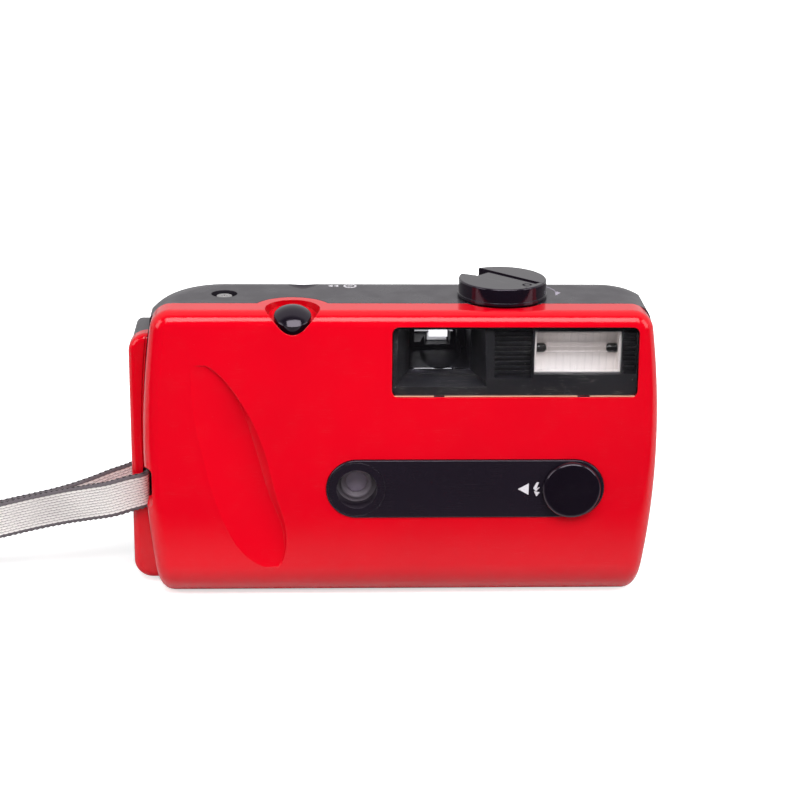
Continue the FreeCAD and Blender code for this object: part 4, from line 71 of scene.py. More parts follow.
class Slot(str, Enum):
    """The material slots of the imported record."""

    RED_SHELL = "red_shell"
    BLACK_SHELL = "black_shell"
    INNER_BLACK = "inner_black"
    PLATE_BLACK = "plate_black"
    KNOB_BLACK = "knob_black"
    CONTROL_BLACK = "control_black"
    GEAR_WHITE = "gear_white"
    DIAL_WHITE = "dial_white"
    CLEAR_PANE = "clear_pane"
    OPTIC = "optic"
    TUBE_GLASS = "tube_glass"
    REFLECTOR = "reflector"
    STEEL = "steel"
    PLATE_STEEL = "plate_steel"
    SHUTTER_METAL = "shutter_metal"
    CONTACT = "contact"
    SCREW = "screw"
    BRASS = "brass"
    BOARD = "board"
    CAPACITOR_SLEEVE = "capacitor_sleeve"
    WINDING = "winding"
    FOAM = "foam"
    LAMP = "lamp"
    WEBBING = "webbing"


class SocketKind(str, Enum):
    """Kinds of socket on a shared node group."""

    NUMBER = "NodeSocketFloat"
    VECTOR = "NodeSocketVector"


def shade(red: int, green: int, blue: int) -> Colour:
    """Turn a colour as it shows on a screen into the linear values that shaders take.

    Args:
        red: Red from 0 to 255.
        green: Green from 0 to 255.
        blue: Blue from 0 to 255.

    Returns:
        The linear colour with an alpha of one.
    """
    linear = []
    for level in (red, green, blue):
        part = level / 255
        linear.append(part / 12.92 if part <= 0.04045 else ((part + 0.055) / 1.055) ** 2.4)
    return (linear[0], linear[1], linear[2], 1.0)


# Node trees


class Wiring:
    """Adds nodes to one node tree and joins their sockets."""

    def __init__(self, tree: bpy.types.NodeTree) -> None:
        """Keep the tree that the nodes go into."""
        self.tree = tree

    def node(self, kind: str, **settings: object) -> bpy.types.Node:
        """Add a node.

        Args:
            kind: Blender's name of the node's type.
            **settings: Values of the node's own options.

        Returns:
            The new node.
        """
        made = self.tree.nodes.new(kind)
        for name, value in settings.items():
            setattr(made, name, value)
        return made

    def feed(self, socket: bpy.types.NodeSocket, value: object) -> None:
        """Set a socket, or join it to another.

        Args:
            socket: The input to feed.
            value: Another node's output, or a plain value.
        """
        if isinstance(value, bpy.types.NodeSocket):
            self.tree.links.new(value, socket)
        else:
            socket.default_value = value

    def math(self, operation: str, *values: object) -> bpy.types.NodeSocket:
        """Add a Math node.

        Args:
            operation: Blender's name of the operation.
            *values: Its inputs in order, sockets or numbers.

        Returns:
            The result's socket.
        """
        made = self.node("ShaderNodeMath", operation=operation)
        for socket, value in zip(made.inputs, values):
            self.feed(socket, value)
        return made.outputs[0]

    def blend(self, share: object, first: object, second: object) -> bpy.types.NodeSocket:
        """Mix two colours.

        Args:
            share: How much of the second colour shows, from 0 to 1.
            first: A colour or a colour socket.
            second: A colour or a colour socket.

        Returns:
            The mixed colour's socket.
        """
        made = self.node("ShaderNodeMix", data_type="RGBA")
        self.feed(made.inputs[0], share)
        self.feed(made.inputs[6], first)
        self.feed(made.inputs[7], second)
        return made.outputs[2]

    def span(self, value: object, low: float, high: float, to_low: float = 0.0,
             to_high: float = 1.0) -> bpy.types.NodeSocket:
        """Map a range of values to another, held at both ends.

        Args:
            value: The socket to map.
            low: The value that gives to_low.
            high: The value that gives to_high.
            to_low: First end of the new range.
            to_high: Last end of the new range.

        Returns:
            The mapped value's socket.
        """
        made = self.node("ShaderNodeMapRange", interpolation_type="SMOOTHSTEP")
        for socket, number in zip(made.inputs, (value, low, high, to_low, to_high)):
            self.feed(socket, number)
        return made.outputs[0]

    def noise(self, place: object, size: object, detail: float = 2.0) -> bpy.types.NodeSocket:
        """Add a noise pattern.

        Args:
            place: The coordinates' socket.
            size: The pattern's grain in metres, a number or a socket.
            detail: How many finer layers are added.

        Returns:
            The noise value's socket.
        """
        made = self.node("ShaderNodeTexNoise")
        scale = self.math("DIVIDE", 1.0, size) if isinstance(size, bpy.types.NodeSocket) else 1.0 / size
        self.feed(made.inputs["Vector"], place)
        self.feed(made.inputs["Scale"], scale)
        self.feed(made.inputs["Detail"], detail)
        return made.outputs["Fac"]

    def object_place(self) -> bpy.types.NodeSocket:
        """Return the coordinates that stay with the piece."""
        return self.node("ShaderNodeTexCoord").outputs["Object"]

    def group(self, tree: bpy.types.NodeTree, **values: object) -> bpy.types.Node:
        """Place a shared group.

        Args:
            tree: The group's node tree.
            **values: Its inputs, with underscores for spaces in their names.

        Returns:
            The group's node.
        """
        made = self.node("ShaderNodeGroup", node_tree=tree)
        for name, value in values.items():
            self.feed(made.inputs[name.replace("_", " ")], value)
        return made


@dataclass
class SharedEffect:
    """One shader node group that several materials use.

    Attributes:
        name: The group's name.
        inputs: Each input's name, kind and resting value.
        outputs: Each output's name and kind.
    """

    name: str
    inputs: list[tuple[str, SocketKind, float]]
    outputs: list[tuple[str, SocketKind]]

    def build(self, wire: Callable[[Wiring, bpy.types.Node], dict[str, object]]) -> bpy.types.NodeTree:
        """Make the group, or return it if it is there.

        Args:
            wire: Fills the group and returns the socket for each output's name.

        Returns:
            The group's node tree.
        """
        known = bpy.data.node_groups.get(self.name)
        if known is not None:
            return known
        tree = bpy.data.node_groups.new(self.name, "ShaderNodeTree")
        for name, kind, rest in self.inputs:
            socket = tree.interface.new_socket(name=name, in_out="INPUT", socket_type=kind.value)
            if kind is SocketKind.NUMBER:
                socket.default_value = rest
        for name, kind in self.outputs:
            tree.interface.new_socket(name=name, in_out="OUTPUT", socket_type=kind.value)
        wiring = Wiring(tree)
        start = wiring.node("NodeGroupInput")
        end = wiring.node("NodeGroupOutput")
        for name, value in wire(wiring, start).items():
            wiring.feed(end.inputs[name], value)
        return tree


def grain_effect() -> bpy.types.NodeTree:
    """Return the fine texture that a mould leaves on plastic, as a height and a slow mottle."""

    def wire(wiring: Wiring, start: bpy.types.Node) -> dict[str, object]:
        """Fill the group: two grains of noise and one wide patch pattern."""
        place = wiring.object_place()
        size = start.outputs["Size"]
        coarse = wiring.noise(place, size, 3.0)
        fine = wiring.noise(place, wiring.math("MULTIPLY", size, 0.31), 1.0)
        height = wiring.math("MULTIPLY_ADD", fine, 0.45, coarse)
        patches = wiring.noise(place, wiring.math("MULTIPLY", size, 40.0), 4.0)
        return {"Height": height, "Mottle": wiring.span(patches, 0.3, 0.7)}

    effect = SharedEffect("moulded grain", [("Size", SocketKind.NUMBER, 0.25 * MM)],
                          [("Height", SocketKind.NUMBER), ("Mottle", SocketKind.NUMBER)])
    return effect.build(wire)


def edge_effect() -> bpy.types.NodeTree:
    """Return rounded edges as a normal, and a mask of where handling has rubbed them."""

    def wire(wiring: Wiring, start: bpy.types.Node) -> dict[str, object]:
        """Fill the group: a bevelled normal, compared with the flat one, broken up by noise."""
        bevel = wiring.node("ShaderNodeBevel", samples=4)
        wiring.feed(bevel.inputs["Radius"], start.outputs["Radius"])
        flat = wiring.node("ShaderNodeNewGeometry").outputs["Normal"]
        dot = wiring.node("ShaderNodeVectorMath", operation="DOT_PRODUCT")
        wiring.feed(dot.inputs[0], bevel.outputs[0])
        wiring.feed(dot.inputs[1], flat)
        bend = wiring.span(dot.outputs["Value"], 0.995, 0.86)
        patches = wiring.noise(wiring.object_place(), 1.4 * MM, 4.0)
        rubbed = wiring.math("MULTIPLY", bend, wiring.span(patches, 0.36, 0.66))
        return {"Normal": bevel.outputs[0], "Rubbed": rubbed}

    effect = SharedEffect("rubbed edges", [("Radius", SocketKind.NUMBER, 0.15 * MM)],
                          [("Normal", SocketKind.VECTOR), ("Rubbed", SocketKind.NUMBER)])
    return effect.build(wire)


def dust_effect() -> bpy.types.NodeTree:
    """Return specks of dust and short fibres, and faint hairlines from wiping, as masks."""

    def wire(wiring: Wiring, start: bpy.types.Node) -> dict[str, object]:
        """Fill the group: small dots in scattered cells, and thin lines of stretched noise."""
        place = wiring.object_place()
        cells = wiring.node("ShaderNodeTexVoronoi", feature="F1")
        wiring.feed(cells.inputs["Vector"], place)
        wiring.feed(cells.inputs["Scale"], wiring.math("DIVIDE", 1.0, start.outputs["Spacing"]))
        dot = wiring.span(cells.outputs["Distance"], 0.075, 0.03)
        chance = wiring.node("ShaderNodeSeparateColor")
        wiring.feed(chance.inputs[0], cells.outputs["Color"])
        kept = wiring.math("GREATER_THAN", chance.outputs[0], 0.62)
        lines = None
        for turn in (0.35, 1.25, 2.3):
            mapping = wiring.node("ShaderNodeMapping")
            wiring.feed(mapping.inputs["Vector"], place)
            mapping.inputs["Rotation"].default_value = (turn, turn * 0.7, turn)
            mapping.inputs["Scale"].default_value = (0.035, 1.0, 1.0)
            streaks = wiring.noise(mapping.outputs[0], 0.42 * MM, 1.0)
            thin = wiring.span(wiring.math("ABSOLUTE", wiring.math("SUBTRACT", streaks, 0.5)), 0.006, 0.001)
            lines = thin if lines is None else wiring.math("MAXIMUM", lines, thin)
        broken = wiring.span(wiring.noise(place, 6.0 * MM, 2.0), 0.48, 0.62)
        return {"Specks": wiring.math("MULTIPLY", dot, kept),
                "Hairlines": wiring.math("MULTIPLY", lines, broken)}

    effect = SharedEffect("dust and hairlines", [("Spacing", SocketKind.NUMBER, 1.8 * MM)],
                          [("Specks", SocketKind.NUMBER), ("Hairlines", SocketKind.NUMBER)])
    return effect.build(wire)


WEAVE_MAP = "weave"
YARN_LENGTH = 1.75
YARN_HEIGHT = 2.05
YARN_RIM = (0.88, 1.08)


def weave_effect() -> bpy.types.NodeTree:
    """Return the woven yarns of the strap from its UV map: their height, a mask of their gaps for painted
    shade and their border.
    """

    def wire(wiring: Wiring, start: bpy.types.Node) -> dict[str, object]:
        """Fill the group: one oval per yarn, every other row moved on by half a stitch."""
        uv = wiring.node("ShaderNodeUVMap", uv_map=WEAVE_MAP)
        parts = wiring.node("ShaderNodeSeparateXYZ")
        wiring.feed(parts.inputs[0], uv.outputs[0])
        along, across = parts.outputs[0], parts.outputs[1]
        row = wiring.math("FLOOR", across)
        shift = wiring.math("MULTIPLY", wiring.math("FLOORED_MODULO", row, 2.0), 0.5)
        stitch = wiring.math("ADD", along, shift)
        dx = wiring.math("SUBTRACT", wiring.math("FRACT", stitch), 0.5)
        dy = wiring.math("SUBTRACT", wiring.math("FRACT", across), 0.5)
        reach = wiring.math("SQRT", wiring.math(
            "ADD", wiring.math("POWER", wiring.math("MULTIPLY", dx, YARN_LENGTH), 2.0),
            wiring.math("POWER", wiring.math("MULTIPLY", dy, YARN_HEIGHT), 2.0)))
        fibres = wiring.node("ShaderNodeTexNoise")
        stretch = wiring.node("ShaderNodeCombineXYZ")
        wiring.feed(stretch.inputs[0], wiring.math("MULTIPLY", along, 1.5))
        wiring.feed(stretch.inputs[1], wiring.math("MULTIPLY", across, 9.0))
        wiring.feed(fibres.inputs["Vector"], stretch.outputs[0])
        fibres.inputs["Scale"].default_value = 1.0
        height = wiring.math("MULTIPLY_ADD", fibres.outputs["Fac"], 0.25,
                             wiring.math("SUBTRACT", 1.0, reach))
        border = wiring.math("MAXIMUM", wiring.math("LESS_THAN", across, 0.0),
                             wiring.math("GREATER_THAN", across, start.outputs["Rows"]))
        return {"Height": height, "Gap": wiring.span(reach, *YARN_RIM), "Border": border,
                "Fibre": fibres.outputs["Fac"]}

    effect = SharedEffect("webbing weave", [("Rows", SocketKind.NUMBER, 11.0)],
                          [("Height", SocketKind.NUMBER), ("Gap", SocketKind.NUMBER),
                           ("Border", SocketKind.NUMBER), ("Fibre", SocketKind.NUMBER)])
    return effect.build(wire)


# Finishes


DULLER = 0.86
LINT = shade(205, 200, 196)
LENS_LINT = shade(225, 222, 220)
BARE_EDGE = shade(228, 226, 222)


def dulled(colour: Colour) -> Colour:
    """Return a colour a little darker.

    Args:
        colour: The colour to start from.

    Returns:
        The darker colour with an alpha of one.
    """
    red, green, blue = (part * DULLER for part in colour[:3])
    return (red, green, blue, 1.0)


@dataclass(frozen=True)
class Finish:
    """A material made of nodes.

    Attributes:
        name: The material's name.
        colour: Its main colour.
        roughness: The shader's resting roughness.
    """

    name: str
    colour: Colour
    roughness: float

    def material(self) -> bpy.types.Material:
        """Return the material, made once."""
        known = bpy.data.materials.get(self.name)
        if known is not None:
            return known
        made = bpy.data.materials.new(self.name)
        made.use_nodes = True
        wiring = Wiring(made.node_tree)
        made.node_tree.nodes.clear()
        end = wiring.node("ShaderNodeOutputMaterial")
        shader = wiring.node("ShaderNodeBsdfPrincipled")
        shader.inputs["Roughness"].default_value = self.roughness
        shader.inputs["Base Color"].default_value = self.colour
        wiring.feed(end.inputs["Surface"], shader.outputs[0])
        self.wire(wiring, shader, end)
        return made

    def wire(self, wiring: Wiring, shader: bpy.types.Node, end: bpy.types.Node) -> None:
        """Add what makes this finish.

        Args:
            wiring: The material's node tree.
            shader: Its Principled shader.
            end: Its output node.
        """
        raise NotImplementedError

    def relief(self, wiring: Wiring, shader: bpy.types.Node, height: bpy.types.NodeSocket,
               depth: float, normal: object = None) -> None:
        """Feed the shader's normal through a bump.

        Args:
            wiring: The material's node tree.
            shader: Its shader.
            height: The pattern's height, about 0 to 1.
            depth: How deep the pattern is, in metres.
            normal: The normal that the bump starts from.
        """
        bump = wiring.node("ShaderNodeBump")
        bump.inputs["Distance"].default_value = depth
        wiring.feed(bump.inputs["Height"], height)
        if normal is not None:
            wiring.feed(bump.inputs["Normal"], normal)
        wiring.feed(shader.inputs["Normal"], bump.outputs[0])


@dataclass(frozen=True)
class MouldedPlastic(Finish):
    """Moulded or lacquered plastic.

    Attributes:
        grain: Size of the mould's texture.
        depth: Depth of that texture.
        edge: Radius of its moulded edges.
        worn: Colour that rubbed edges tend to.
        wear: How much the edges are rubbed.
        dust: How much dust and how many hairlines show.
        gloss: How strongly it mirrors, 0.5 for plain plastic.
        tint: Colour of its mirror reflection.
    """

    grain: float = 0.25 * MM
    depth: float = 0.004 * MM
    edge: float = 0.15 * MM
    worn: Colour = shade(120, 118, 122)
    wear: float = 0.25
    dust: float = 0.25
    gloss: float = 0.5
    tint: Colour = (1.0, 1.0, 1.0, 1.0)

    def wire(self, wiring: Wiring, shader: bpy.types.Node, end: bpy.types.Node) -> None:
        """Add grain, rubbed edges, dust and hairlines.

        Args:
            wiring: The material's node tree.
            shader: Its Principled shader.
            end: Its output node, which stays as it is.
        """
        grain = wiring.group(grain_effect(), Size=self.grain)
        edges = wiring.group(edge_effect(), Radius=self.edge)
        dust = wiring.group(dust_effect())
        tone = wiring.blend(grain.outputs["Mottle"], self.colour, dulled(self.colour))
        rubbed = wiring.math("MULTIPLY", edges.outputs["Rubbed"], self.wear)
        tone = wiring.blend(rubbed, tone, self.worn)
        marks = wiring.math("MAXIMUM", dust.outputs["Specks"],
                            wiring.math("MULTIPLY", dust.outputs["Hairlines"], 0.5))
        tone = wiring.blend(wiring.math("MULTIPLY", marks, self.dust), tone, LINT)
        wiring.feed(shader.inputs["Base Color"], tone)
        patchy = wiring.span(grain.outputs["Mottle"], 0.0, 1.0, self.roughness * 0.9, self.roughness * 1.12)
        rough = wiring.math("MULTIPLY_ADD", marks, 0.3 * self.dust, patchy)
        wiring.feed(shader.inputs["Roughness"], rough)
        shader.inputs["Specular IOR Level"].default_value = self.gloss
        shader.inputs["Specular Tint"].default_value = self.tint
        self.relief(wiring, shader, grain.outputs["Height"], self.depth, edges.outputs["Normal"])


@dataclass(frozen=True)
class ClearMoulding(Finish):
    """Clear plastic or glass that light and shadow rays pass.

    Attributes:
        index: Refractive index.
        dust: How much dust shows on it.
        tint: Colour of its mirror reflection, as a coated lens has.
        grain: Size of a faint ripple.
        clarity: Share of the light that passes it.
    """

    index: float = 1.49
    dust: float = 0.5
    tint: Colour = (1.0, 1.0, 1.0, 1.0)
    grain: float = 9.0 * MM
    clarity: float = 1.0

    def wire(self, wiring: Wiring, shader: bpy.types.Node, end: bpy.types.Node) -> None:
        """Make it clear, dusty on its faces and open to shadow rays.

        Args:
            wiring: The material's node tree.
            shader: Its Principled shader.
            end: Its output node.
        """
        shader.inputs["Transmission Weight"].default_value = self.clarity
        shader.inputs["IOR"].default_value = self.index
        shader.inputs["Specular Tint"].default_value = self.tint
        grain = wiring.group(grain_effect(), Size=self.grain)
        dust = wiring.group(dust_effect(), Spacing=2.6 * MM)
        marks = wiring.math("MAXIMUM", dust.outputs["Specks"],
                            wiring.math("MULTIPLY", dust.outputs["Hairlines"], 0.35))
        marks = wiring.math("MULTIPLY", marks, self.dust)
        wiring.feed(shader.inputs["Base Color"], wiring.blend(marks, self.colour, LENS_LINT))
        wiring.feed(shader.inputs["Roughness"], wiring.math("MULTIPLY_ADD", marks, 0.5, self.roughness))
        self.relief(wiring, shader, grain.outputs["Height"], 0.004 * MM)
        open_to_light = wiring.node("ShaderNodeBsdfTransparent")
        open_to_light.inputs[0].default_value = self.colour
        mix = wiring.node("ShaderNodeMixShader")
        wiring.feed(mix.inputs[0], wiring.node("ShaderNodeLightPath").outputs["Is Shadow Ray"])
        wiring.feed(mix.inputs[1], shader.outputs[0])
        wiring.feed(mix.inputs[2], open_to_light.outputs[0])
        wiring.feed(end.inputs["Surface"], mix.outputs[0])


class Lay(Enum):
    """How a metal's finish runs."""

    CAST = (1.0, 1.0, 1.0)
    BRUSHED_X = (0.02, 1.0, 1.0)
    BRUSHED_Z = (1.0, 1.0, 0.02)


@dataclass(frozen=True)
class WorkedMetal(Finish):
    """Bare or plated metal.

    Attributes:
        lay: The direction of its brushing.
        grain: Width of the brush lines or cast grain.
        depth: Their depth.
        tarnish: Colour in its dull patches.
        edge: Radius of its edges.
        shine: How far it mirrors like bare metal.
    """

    lay: Lay = Lay.CAST
    grain: float = 0.12 * MM
    depth: float = 0.004 * MM
    tarnish: Colour = shade(90, 88, 86)
    edge: float = 0.06 * MM
    shine: float = 1.0

    def wire(self, wiring: Wiring, shader: bpy.types.Node, end: bpy.types.Node) -> None:
        """Add brush lines, dull patches and bright edges.

        Args:
            wiring: The material's node tree.
            shader: Its Principled shader.
            end: Its output node, which stays as it is.
        """
        shader.inputs["Metallic"].default_value = self.shine
        mapping = wiring.node("ShaderNodeMapping")
        wiring.feed(mapping.inputs["Vector"], wiring.object_place())
        mapping.inputs["Scale"].default_value = self.lay.value
        lines = wiring.noise(mapping.outputs[0], self.grain, 4.0)
        patches = wiring.group(grain_effect(), Size=self.grain)
        edges = wiring.group(edge_effect(), Radius=self.edge)
        dull = wiring.math("MULTIPLY", patches.outputs["Mottle"], 0.4)
        tone = wiring.blend(dull, self.colour, self.tarnish)
        rubbed = wiring.math("MULTIPLY", edges.outputs["Rubbed"], 0.5)
        tone = wiring.blend(rubbed, tone, BARE_EDGE)
        wiring.feed(shader.inputs["Base Color"], tone)
        rough = wiring.span(lines, 0.25, 0.75, self.roughness * 0.75, self.roughness * 1.3)
        wiring.feed(shader.inputs["Roughness"], rough)
        self.relief(wiring, shader, lines, self.depth, edges.outputs["Normal"])


@dataclass(frozen=True)
class WovenTape(Finish):
    """Woven webbing, pale on its face, darker in its borders, with painted shade in its gaps.

    Attributes:
        gap: Painted shade between the yarns.
        border: Colour of the rolled borders.
        seam_shade: Painted shade between the borders' loops.
        depth: How far the yarns stand up.
    """

    gap: Colour = shade(132, 121, 126)
    border: Colour = shade(104, 97, 102)
    seam_shade: Colour = shade(34, 27, 32)
    depth: float = 0.12 * MM

    def wire(self, wiring: Wiring, shader: bpy.types.Node, end: bpy.types.Node) -> None:
        """Colour the yarns one by one, with painted shade in the gaps between them.

        Args:
            wiring: The material's node tree.
            shader: Its Principled shader.
            end: Its output node, which stays as it is.
        """
        weave = wiring.group(weave_effect(), Rows=float(WristStrap.ROWS))
        soil = wiring.noise(wiring.object_place(), 14.0 * MM, 3.0)
        fibre = wiring.span(weave.outputs["Fibre"], 0.3, 0.7)
        yarn = wiring.blend(fibre, self.colour, dulled(self.colour))
        yarn = wiring.blend(wiring.span(soil, 0.45, 0.8, 0.0, 0.2), yarn, self.border)
        # Painted shade: the gaps between the yarns and between the borders' loops are coloured darker.
        face = wiring.blend(weave.outputs["Gap"], yarn, self.gap)
        edge = wiring.blend(weave.outputs["Gap"], self.border, self.seam_shade)
        wiring.feed(shader.inputs["Base Color"], wiring.blend(weave.outputs["Border"], face, edge))
        shader.inputs["Sheen Weight"].default_value = 0.3
        shader.inputs["Sheen Roughness"].default_value = 0.5
        self.relief(wiring, shader, weave.outputs["Height"], self.depth)


@dataclass(frozen=True)
class PrintedInk(Finish):
    """Pad-printed ink, slightly broken at its edges and worn.

    Attributes:
        under: What shows where the ink has worn through.
        glow: Its own light, a painted glow that stands in for daylight shining through it.
    """

    under: Colour = shade(60, 58, 62)
    glow: float = 0.0

    def wire(self, wiring: Wiring, shader: bpy.types.Node, end: bpy.types.Node) -> None:
        """Break the ink with small pits.

        Args:
            wiring: The material's node tree.
            shader: Its Principled shader.
            end: Its output node, which stays as it is.
        """
        pits = wiring.span(wiring.noise(wiring.object_place(), 0.22 * MM, 3.0), 0.62, 0.7)
        wiring.feed(shader.inputs["Base Color"], wiring.blend(pits, self.colour, self.under))
        shader.inputs["Emission Color"].default_value = self.colour
        shader.inputs["Emission Strength"].default_value = self.glow
        self.relief(wiring, shader, pits, -0.01 * MM)


@dataclass(frozen=True)
class CellFoam(Finish):
    """Open foam of the light seals."""

    def wire(self, wiring: Wiring, shader: bpy.types.Node, end: bpy.types.Node) -> None:
        """Pit the foam with open cells and paint shade into each pit.

        Args:
            wiring: The material's node tree.
            shader: Its Principled shader.
            end: Its output node, which stays as it is.
        """
        cells = wiring.node("ShaderNodeTexVoronoi", feature="F1")
        wiring.feed(cells.inputs["Vector"], wiring.object_place())
        cells.inputs["Scale"].default_value = 1.0 / (0.3 * MM)
        pit = wiring.span(cells.outputs["Distance"], 0.15, 0.7)
        # Painted shade: each open cell's middle is coloured almost black.
        wiring.feed(shader.inputs["Base Color"], wiring.blend(pit, shade(12, 12, 12), self.colour))
        self.relief(wiring, shader, pit, 0.12 * MM)


@dataclass(frozen=True)
class CircuitLaminate(Finish):
    """Circuit board laminate with copper tracks under its lacquer.

    Attributes:
        track: Colour of a lacquered track.
        pitch: Spacing of the tracks.
    """

    track: Colour = shade(70, 120, 62)
    pitch: float = 1.27 * MM

    def wire(self, wiring: Wiring, shader: bpy.types.Node, end: bpy.types.Node) -> None:
        """Lay tracks and tinned pads on the laminate.

        Args:
            wiring: The material's node tree.
            shader: Its Principled shader.
            end: Its output node, which stays as it is.
        """
        place = wiring.object_place()
        maze = wiring.node("ShaderNodeTexVoronoi", feature="F2", distance="CHEBYCHEV")
        wiring.feed(maze.inputs["Vector"], place)
        maze.inputs["Scale"].default_value = 1.0 / (2.2 * self.pitch)
        rings = wiring.math("FRACT", wiring.math("MULTIPLY", maze.outputs["Distance"], 3.0))
        track = wiring.span(wiring.math("ABSOLUTE", wiring.math("SUBTRACT", rings, 0.5)), 0.24, 0.2)
        pads = wiring.node("ShaderNodeTexVoronoi", feature="F1")
        wiring.feed(pads.inputs["Vector"], place)
        pads.inputs["Scale"].default_value = 1.0 / (1.6 * self.pitch)
        pad = wiring.span(pads.outputs["Distance"], 0.26, 0.22)
        tone = wiring.blend(track, self.colour, self.track)
        wiring.feed(shader.inputs["Base Color"], wiring.blend(pad, tone, shade(196, 194, 186)))
        wiring.feed(shader.inputs["Metallic"], pad)
        self.relief(wiring, shader, wiring.math("MAXIMUM", track, pad), 0.03 * MM)


@dataclass(frozen=True)
class WoundCoil(Finish):
    """Fine enamelled wire wound side by side.

    Attributes:
        wire_size: Diameter of the wire.
    """

    wire_size: float = 0.12 * MM

    def wire(self, wiring: Wiring, shader: bpy.types.Node, end: bpy.types.Node) -> None:
        """Lay the turns side by side, with painted shade banding each turn.

        Args:
            wiring: The material's node tree.
            shader: Its Principled shader.
            end: Its output node, which stays as it is.
        """
        turns = wiring.node("ShaderNodeTexWave", wave_type="BANDS", bands_direction="X")
        wiring.feed(turns.inputs["Vector"], wiring.object_place())
        turns.inputs["Scale"].default_value = 1.0 / (20.0 * self.wire_size) * math.pi
        turns.inputs["Distortion"].default_value = 0.6
        # Painted shade: each turn is banded from copper to dark brown across its width.
        tone = wiring.blend(turns.outputs["Fac"], shade(70, 26, 10), self.colour)
        wiring.feed(shader.inputs["Base Color"], tone)
        shader.inputs["Metallic"].default_value = 0.8
        self.relief(wiring, shader, turns.outputs["Fac"], 0.05 * MM)


@dataclass(frozen=True)
class PrintedSleeve(Finish):
    """Shrink sleeve of the flash capacitor with its pale polarity stripe.

    Attributes:
        stripe: Colour of the stripe.
        middle: Height of the stripe's middle.
        half: Half of the stripe's width.
    """

    stripe: Colour = shade(188, 186, 176)
    middle: float = 58.5 * MM
    half: float = 1.2 * MM

    def wire(self, wiring: Wiring, shader: bpy.types.Node, end: bpy.types.Node) -> None:
        """Print the stripe along the sleeve.

        Args:
            wiring: The material's node tree.
            shader: Its Principled shader.
            end: Its output node, which stays as it is.
        """
        parts = wiring.node("ShaderNodeSeparateXYZ")
        wiring.feed(parts.inputs[0], wiring.object_place())
        away = wiring.math("ABSOLUTE", wiring.math("SUBTRACT", parts.outputs[2], self.middle))
        on = wiring.span(away, self.half * 1.04, self.half * 0.96)
        grain = wiring.group(grain_effect(), Size=0.5 * MM)
        wiring.feed(shader.inputs["Base Color"], wiring.blend(on, self.colour, self.stripe))
        self.relief(wiring, shader, grain.outputs["Height"], 0.01 * MM)


LILAC = (0.97, 0.86, 1.0, 1.0)

RED = MouldedPlastic("red gloss moulding", shade(230, 0, 27), 0.13, grain=1.6 * MM, depth=0.0012 * MM,
                     edge=0.22 * MM, worn=shade(250, 120, 120), wear=0.08, dust=0.04, gloss=0.36)
BLACK = MouldedPlastic("black grained moulding", shade(38, 34, 41), 0.3, grain=0.16 * MM,
                       depth=0.006 * MM, edge=0.2 * MM, wear=0.2, dust=0.08, tint=LILAC)
INNER = MouldedPlastic("matt inner moulding", shade(20, 19, 24), 0.42, grain=0.2 * MM, depth=0.006 * MM,
                       edge=0.12 * MM, wear=0.12, dust=0.5)
PLATE = MouldedPlastic("satin black lens plate", shade(31, 25, 35), 0.2, grain=0.3 * MM,
                       depth=0.002 * MM, edge=0.1 * MM, wear=0.2, dust=0.02, tint=LILAC)
# Partly the ring's own grey, and partly painted light: the colour is lifted well above it to make up for the
# shade in the lens recess.
LIFTED_LENS_RING = MouldedPlastic("lens ring lightened against shade", shade(128, 118, 128), 0.5, grain=0.2 * MM,
                           depth=0.003 * MM, edge=0.1 * MM, wear=0.1, dust=0.1)
KNOB = MouldedPlastic("polished black control", shade(21, 15, 25), 0.12, grain=0.5 * MM,
                      depth=0.001 * MM, edge=0.14 * MM, wear=0.15, dust=0.02, tint=LILAC)
CONTROL = MouldedPlastic("satin black control", shade(24, 23, 26), 0.28, grain=0.2 * MM,
                         depth=0.004 * MM, edge=0.12 * MM, wear=0.3, dust=0.15)
GEAR = MouldedPlastic("white gear plastic", shade(214, 210, 198), 0.38, grain=0.4 * MM, depth=0.004 * MM,
                      worn=shade(240, 238, 232), dust=0.1)
DIAL = MouldedPlastic("dial plastic", shade(226, 224, 216), 0.4, grain=0.4 * MM, depth=0.002 * MM,
                      worn=shade(240, 238, 232), dust=0.1)
PANE = ClearMoulding("clear window plastic", (0.97, 0.97, 0.98, 1.0), 0.02, dust=0.35)
LENS_GLASS = ClearMoulding("coated lens glass", (0.93, 0.92, 0.97, 1.0), 0.01, index=1.62, dust=0.1,
                           tint=(0.80, 0.72, 1.0, 1.0), grain=30.0 * MM)
# Painted reflection: six tenths of the lens is a pale lilac diffuse colour that stands in for the coated
# glass's reflection.
TAKING_LENS_PAINTED_REFLECTION = ClearMoulding("taking lens glass with painted reflection", shade(196, 182, 200), 0.05, index=1.62, dust=0.1,
                            tint=(0.80, 0.72, 1.0, 1.0), clarity=0.4)
TUBE_GLASS = ClearMoulding("flash tube glass", (0.97, 0.95, 0.94, 1.0), 0.02, index=1.47, dust=0.1)
# Painted reflection: the reflector is a near-white, almost diffuse metal whose colour stands in for the
# brightness it mirrors.
REFLECTOR = WorkedMetal("flash reflector painted bright", shade(246, 240, 236), 0.5, grain=0.7 * MM,
                        depth=0.012 * MM, tarnish=shade(236, 222, 212), shine=0.05)
STEEL = WorkedMetal("bright steel", shade(196, 195, 192), 0.26)
PLATE_STEEL = WorkedMetal("dark pressure plate", shade(62, 61, 63), 0.34, lay=Lay.BRUSHED_X)
SHUTTER = WorkedMetal("blackened shutter metal", shade(34, 34, 37), 0.38, lay=Lay.BRUSHED_Z)
CONTACT = WorkedMetal("nickel contact", shade(206, 203, 192), 0.24, lay=Lay.BRUSHED_X)
SCREW = WorkedMetal("zinc screw", shade(208, 205, 206), 0.38, grain=0.08 * MM)
BRASS = WorkedMetal("brass insert", shade(205, 170, 92), 0.28, tarnish=shade(128, 96, 44))
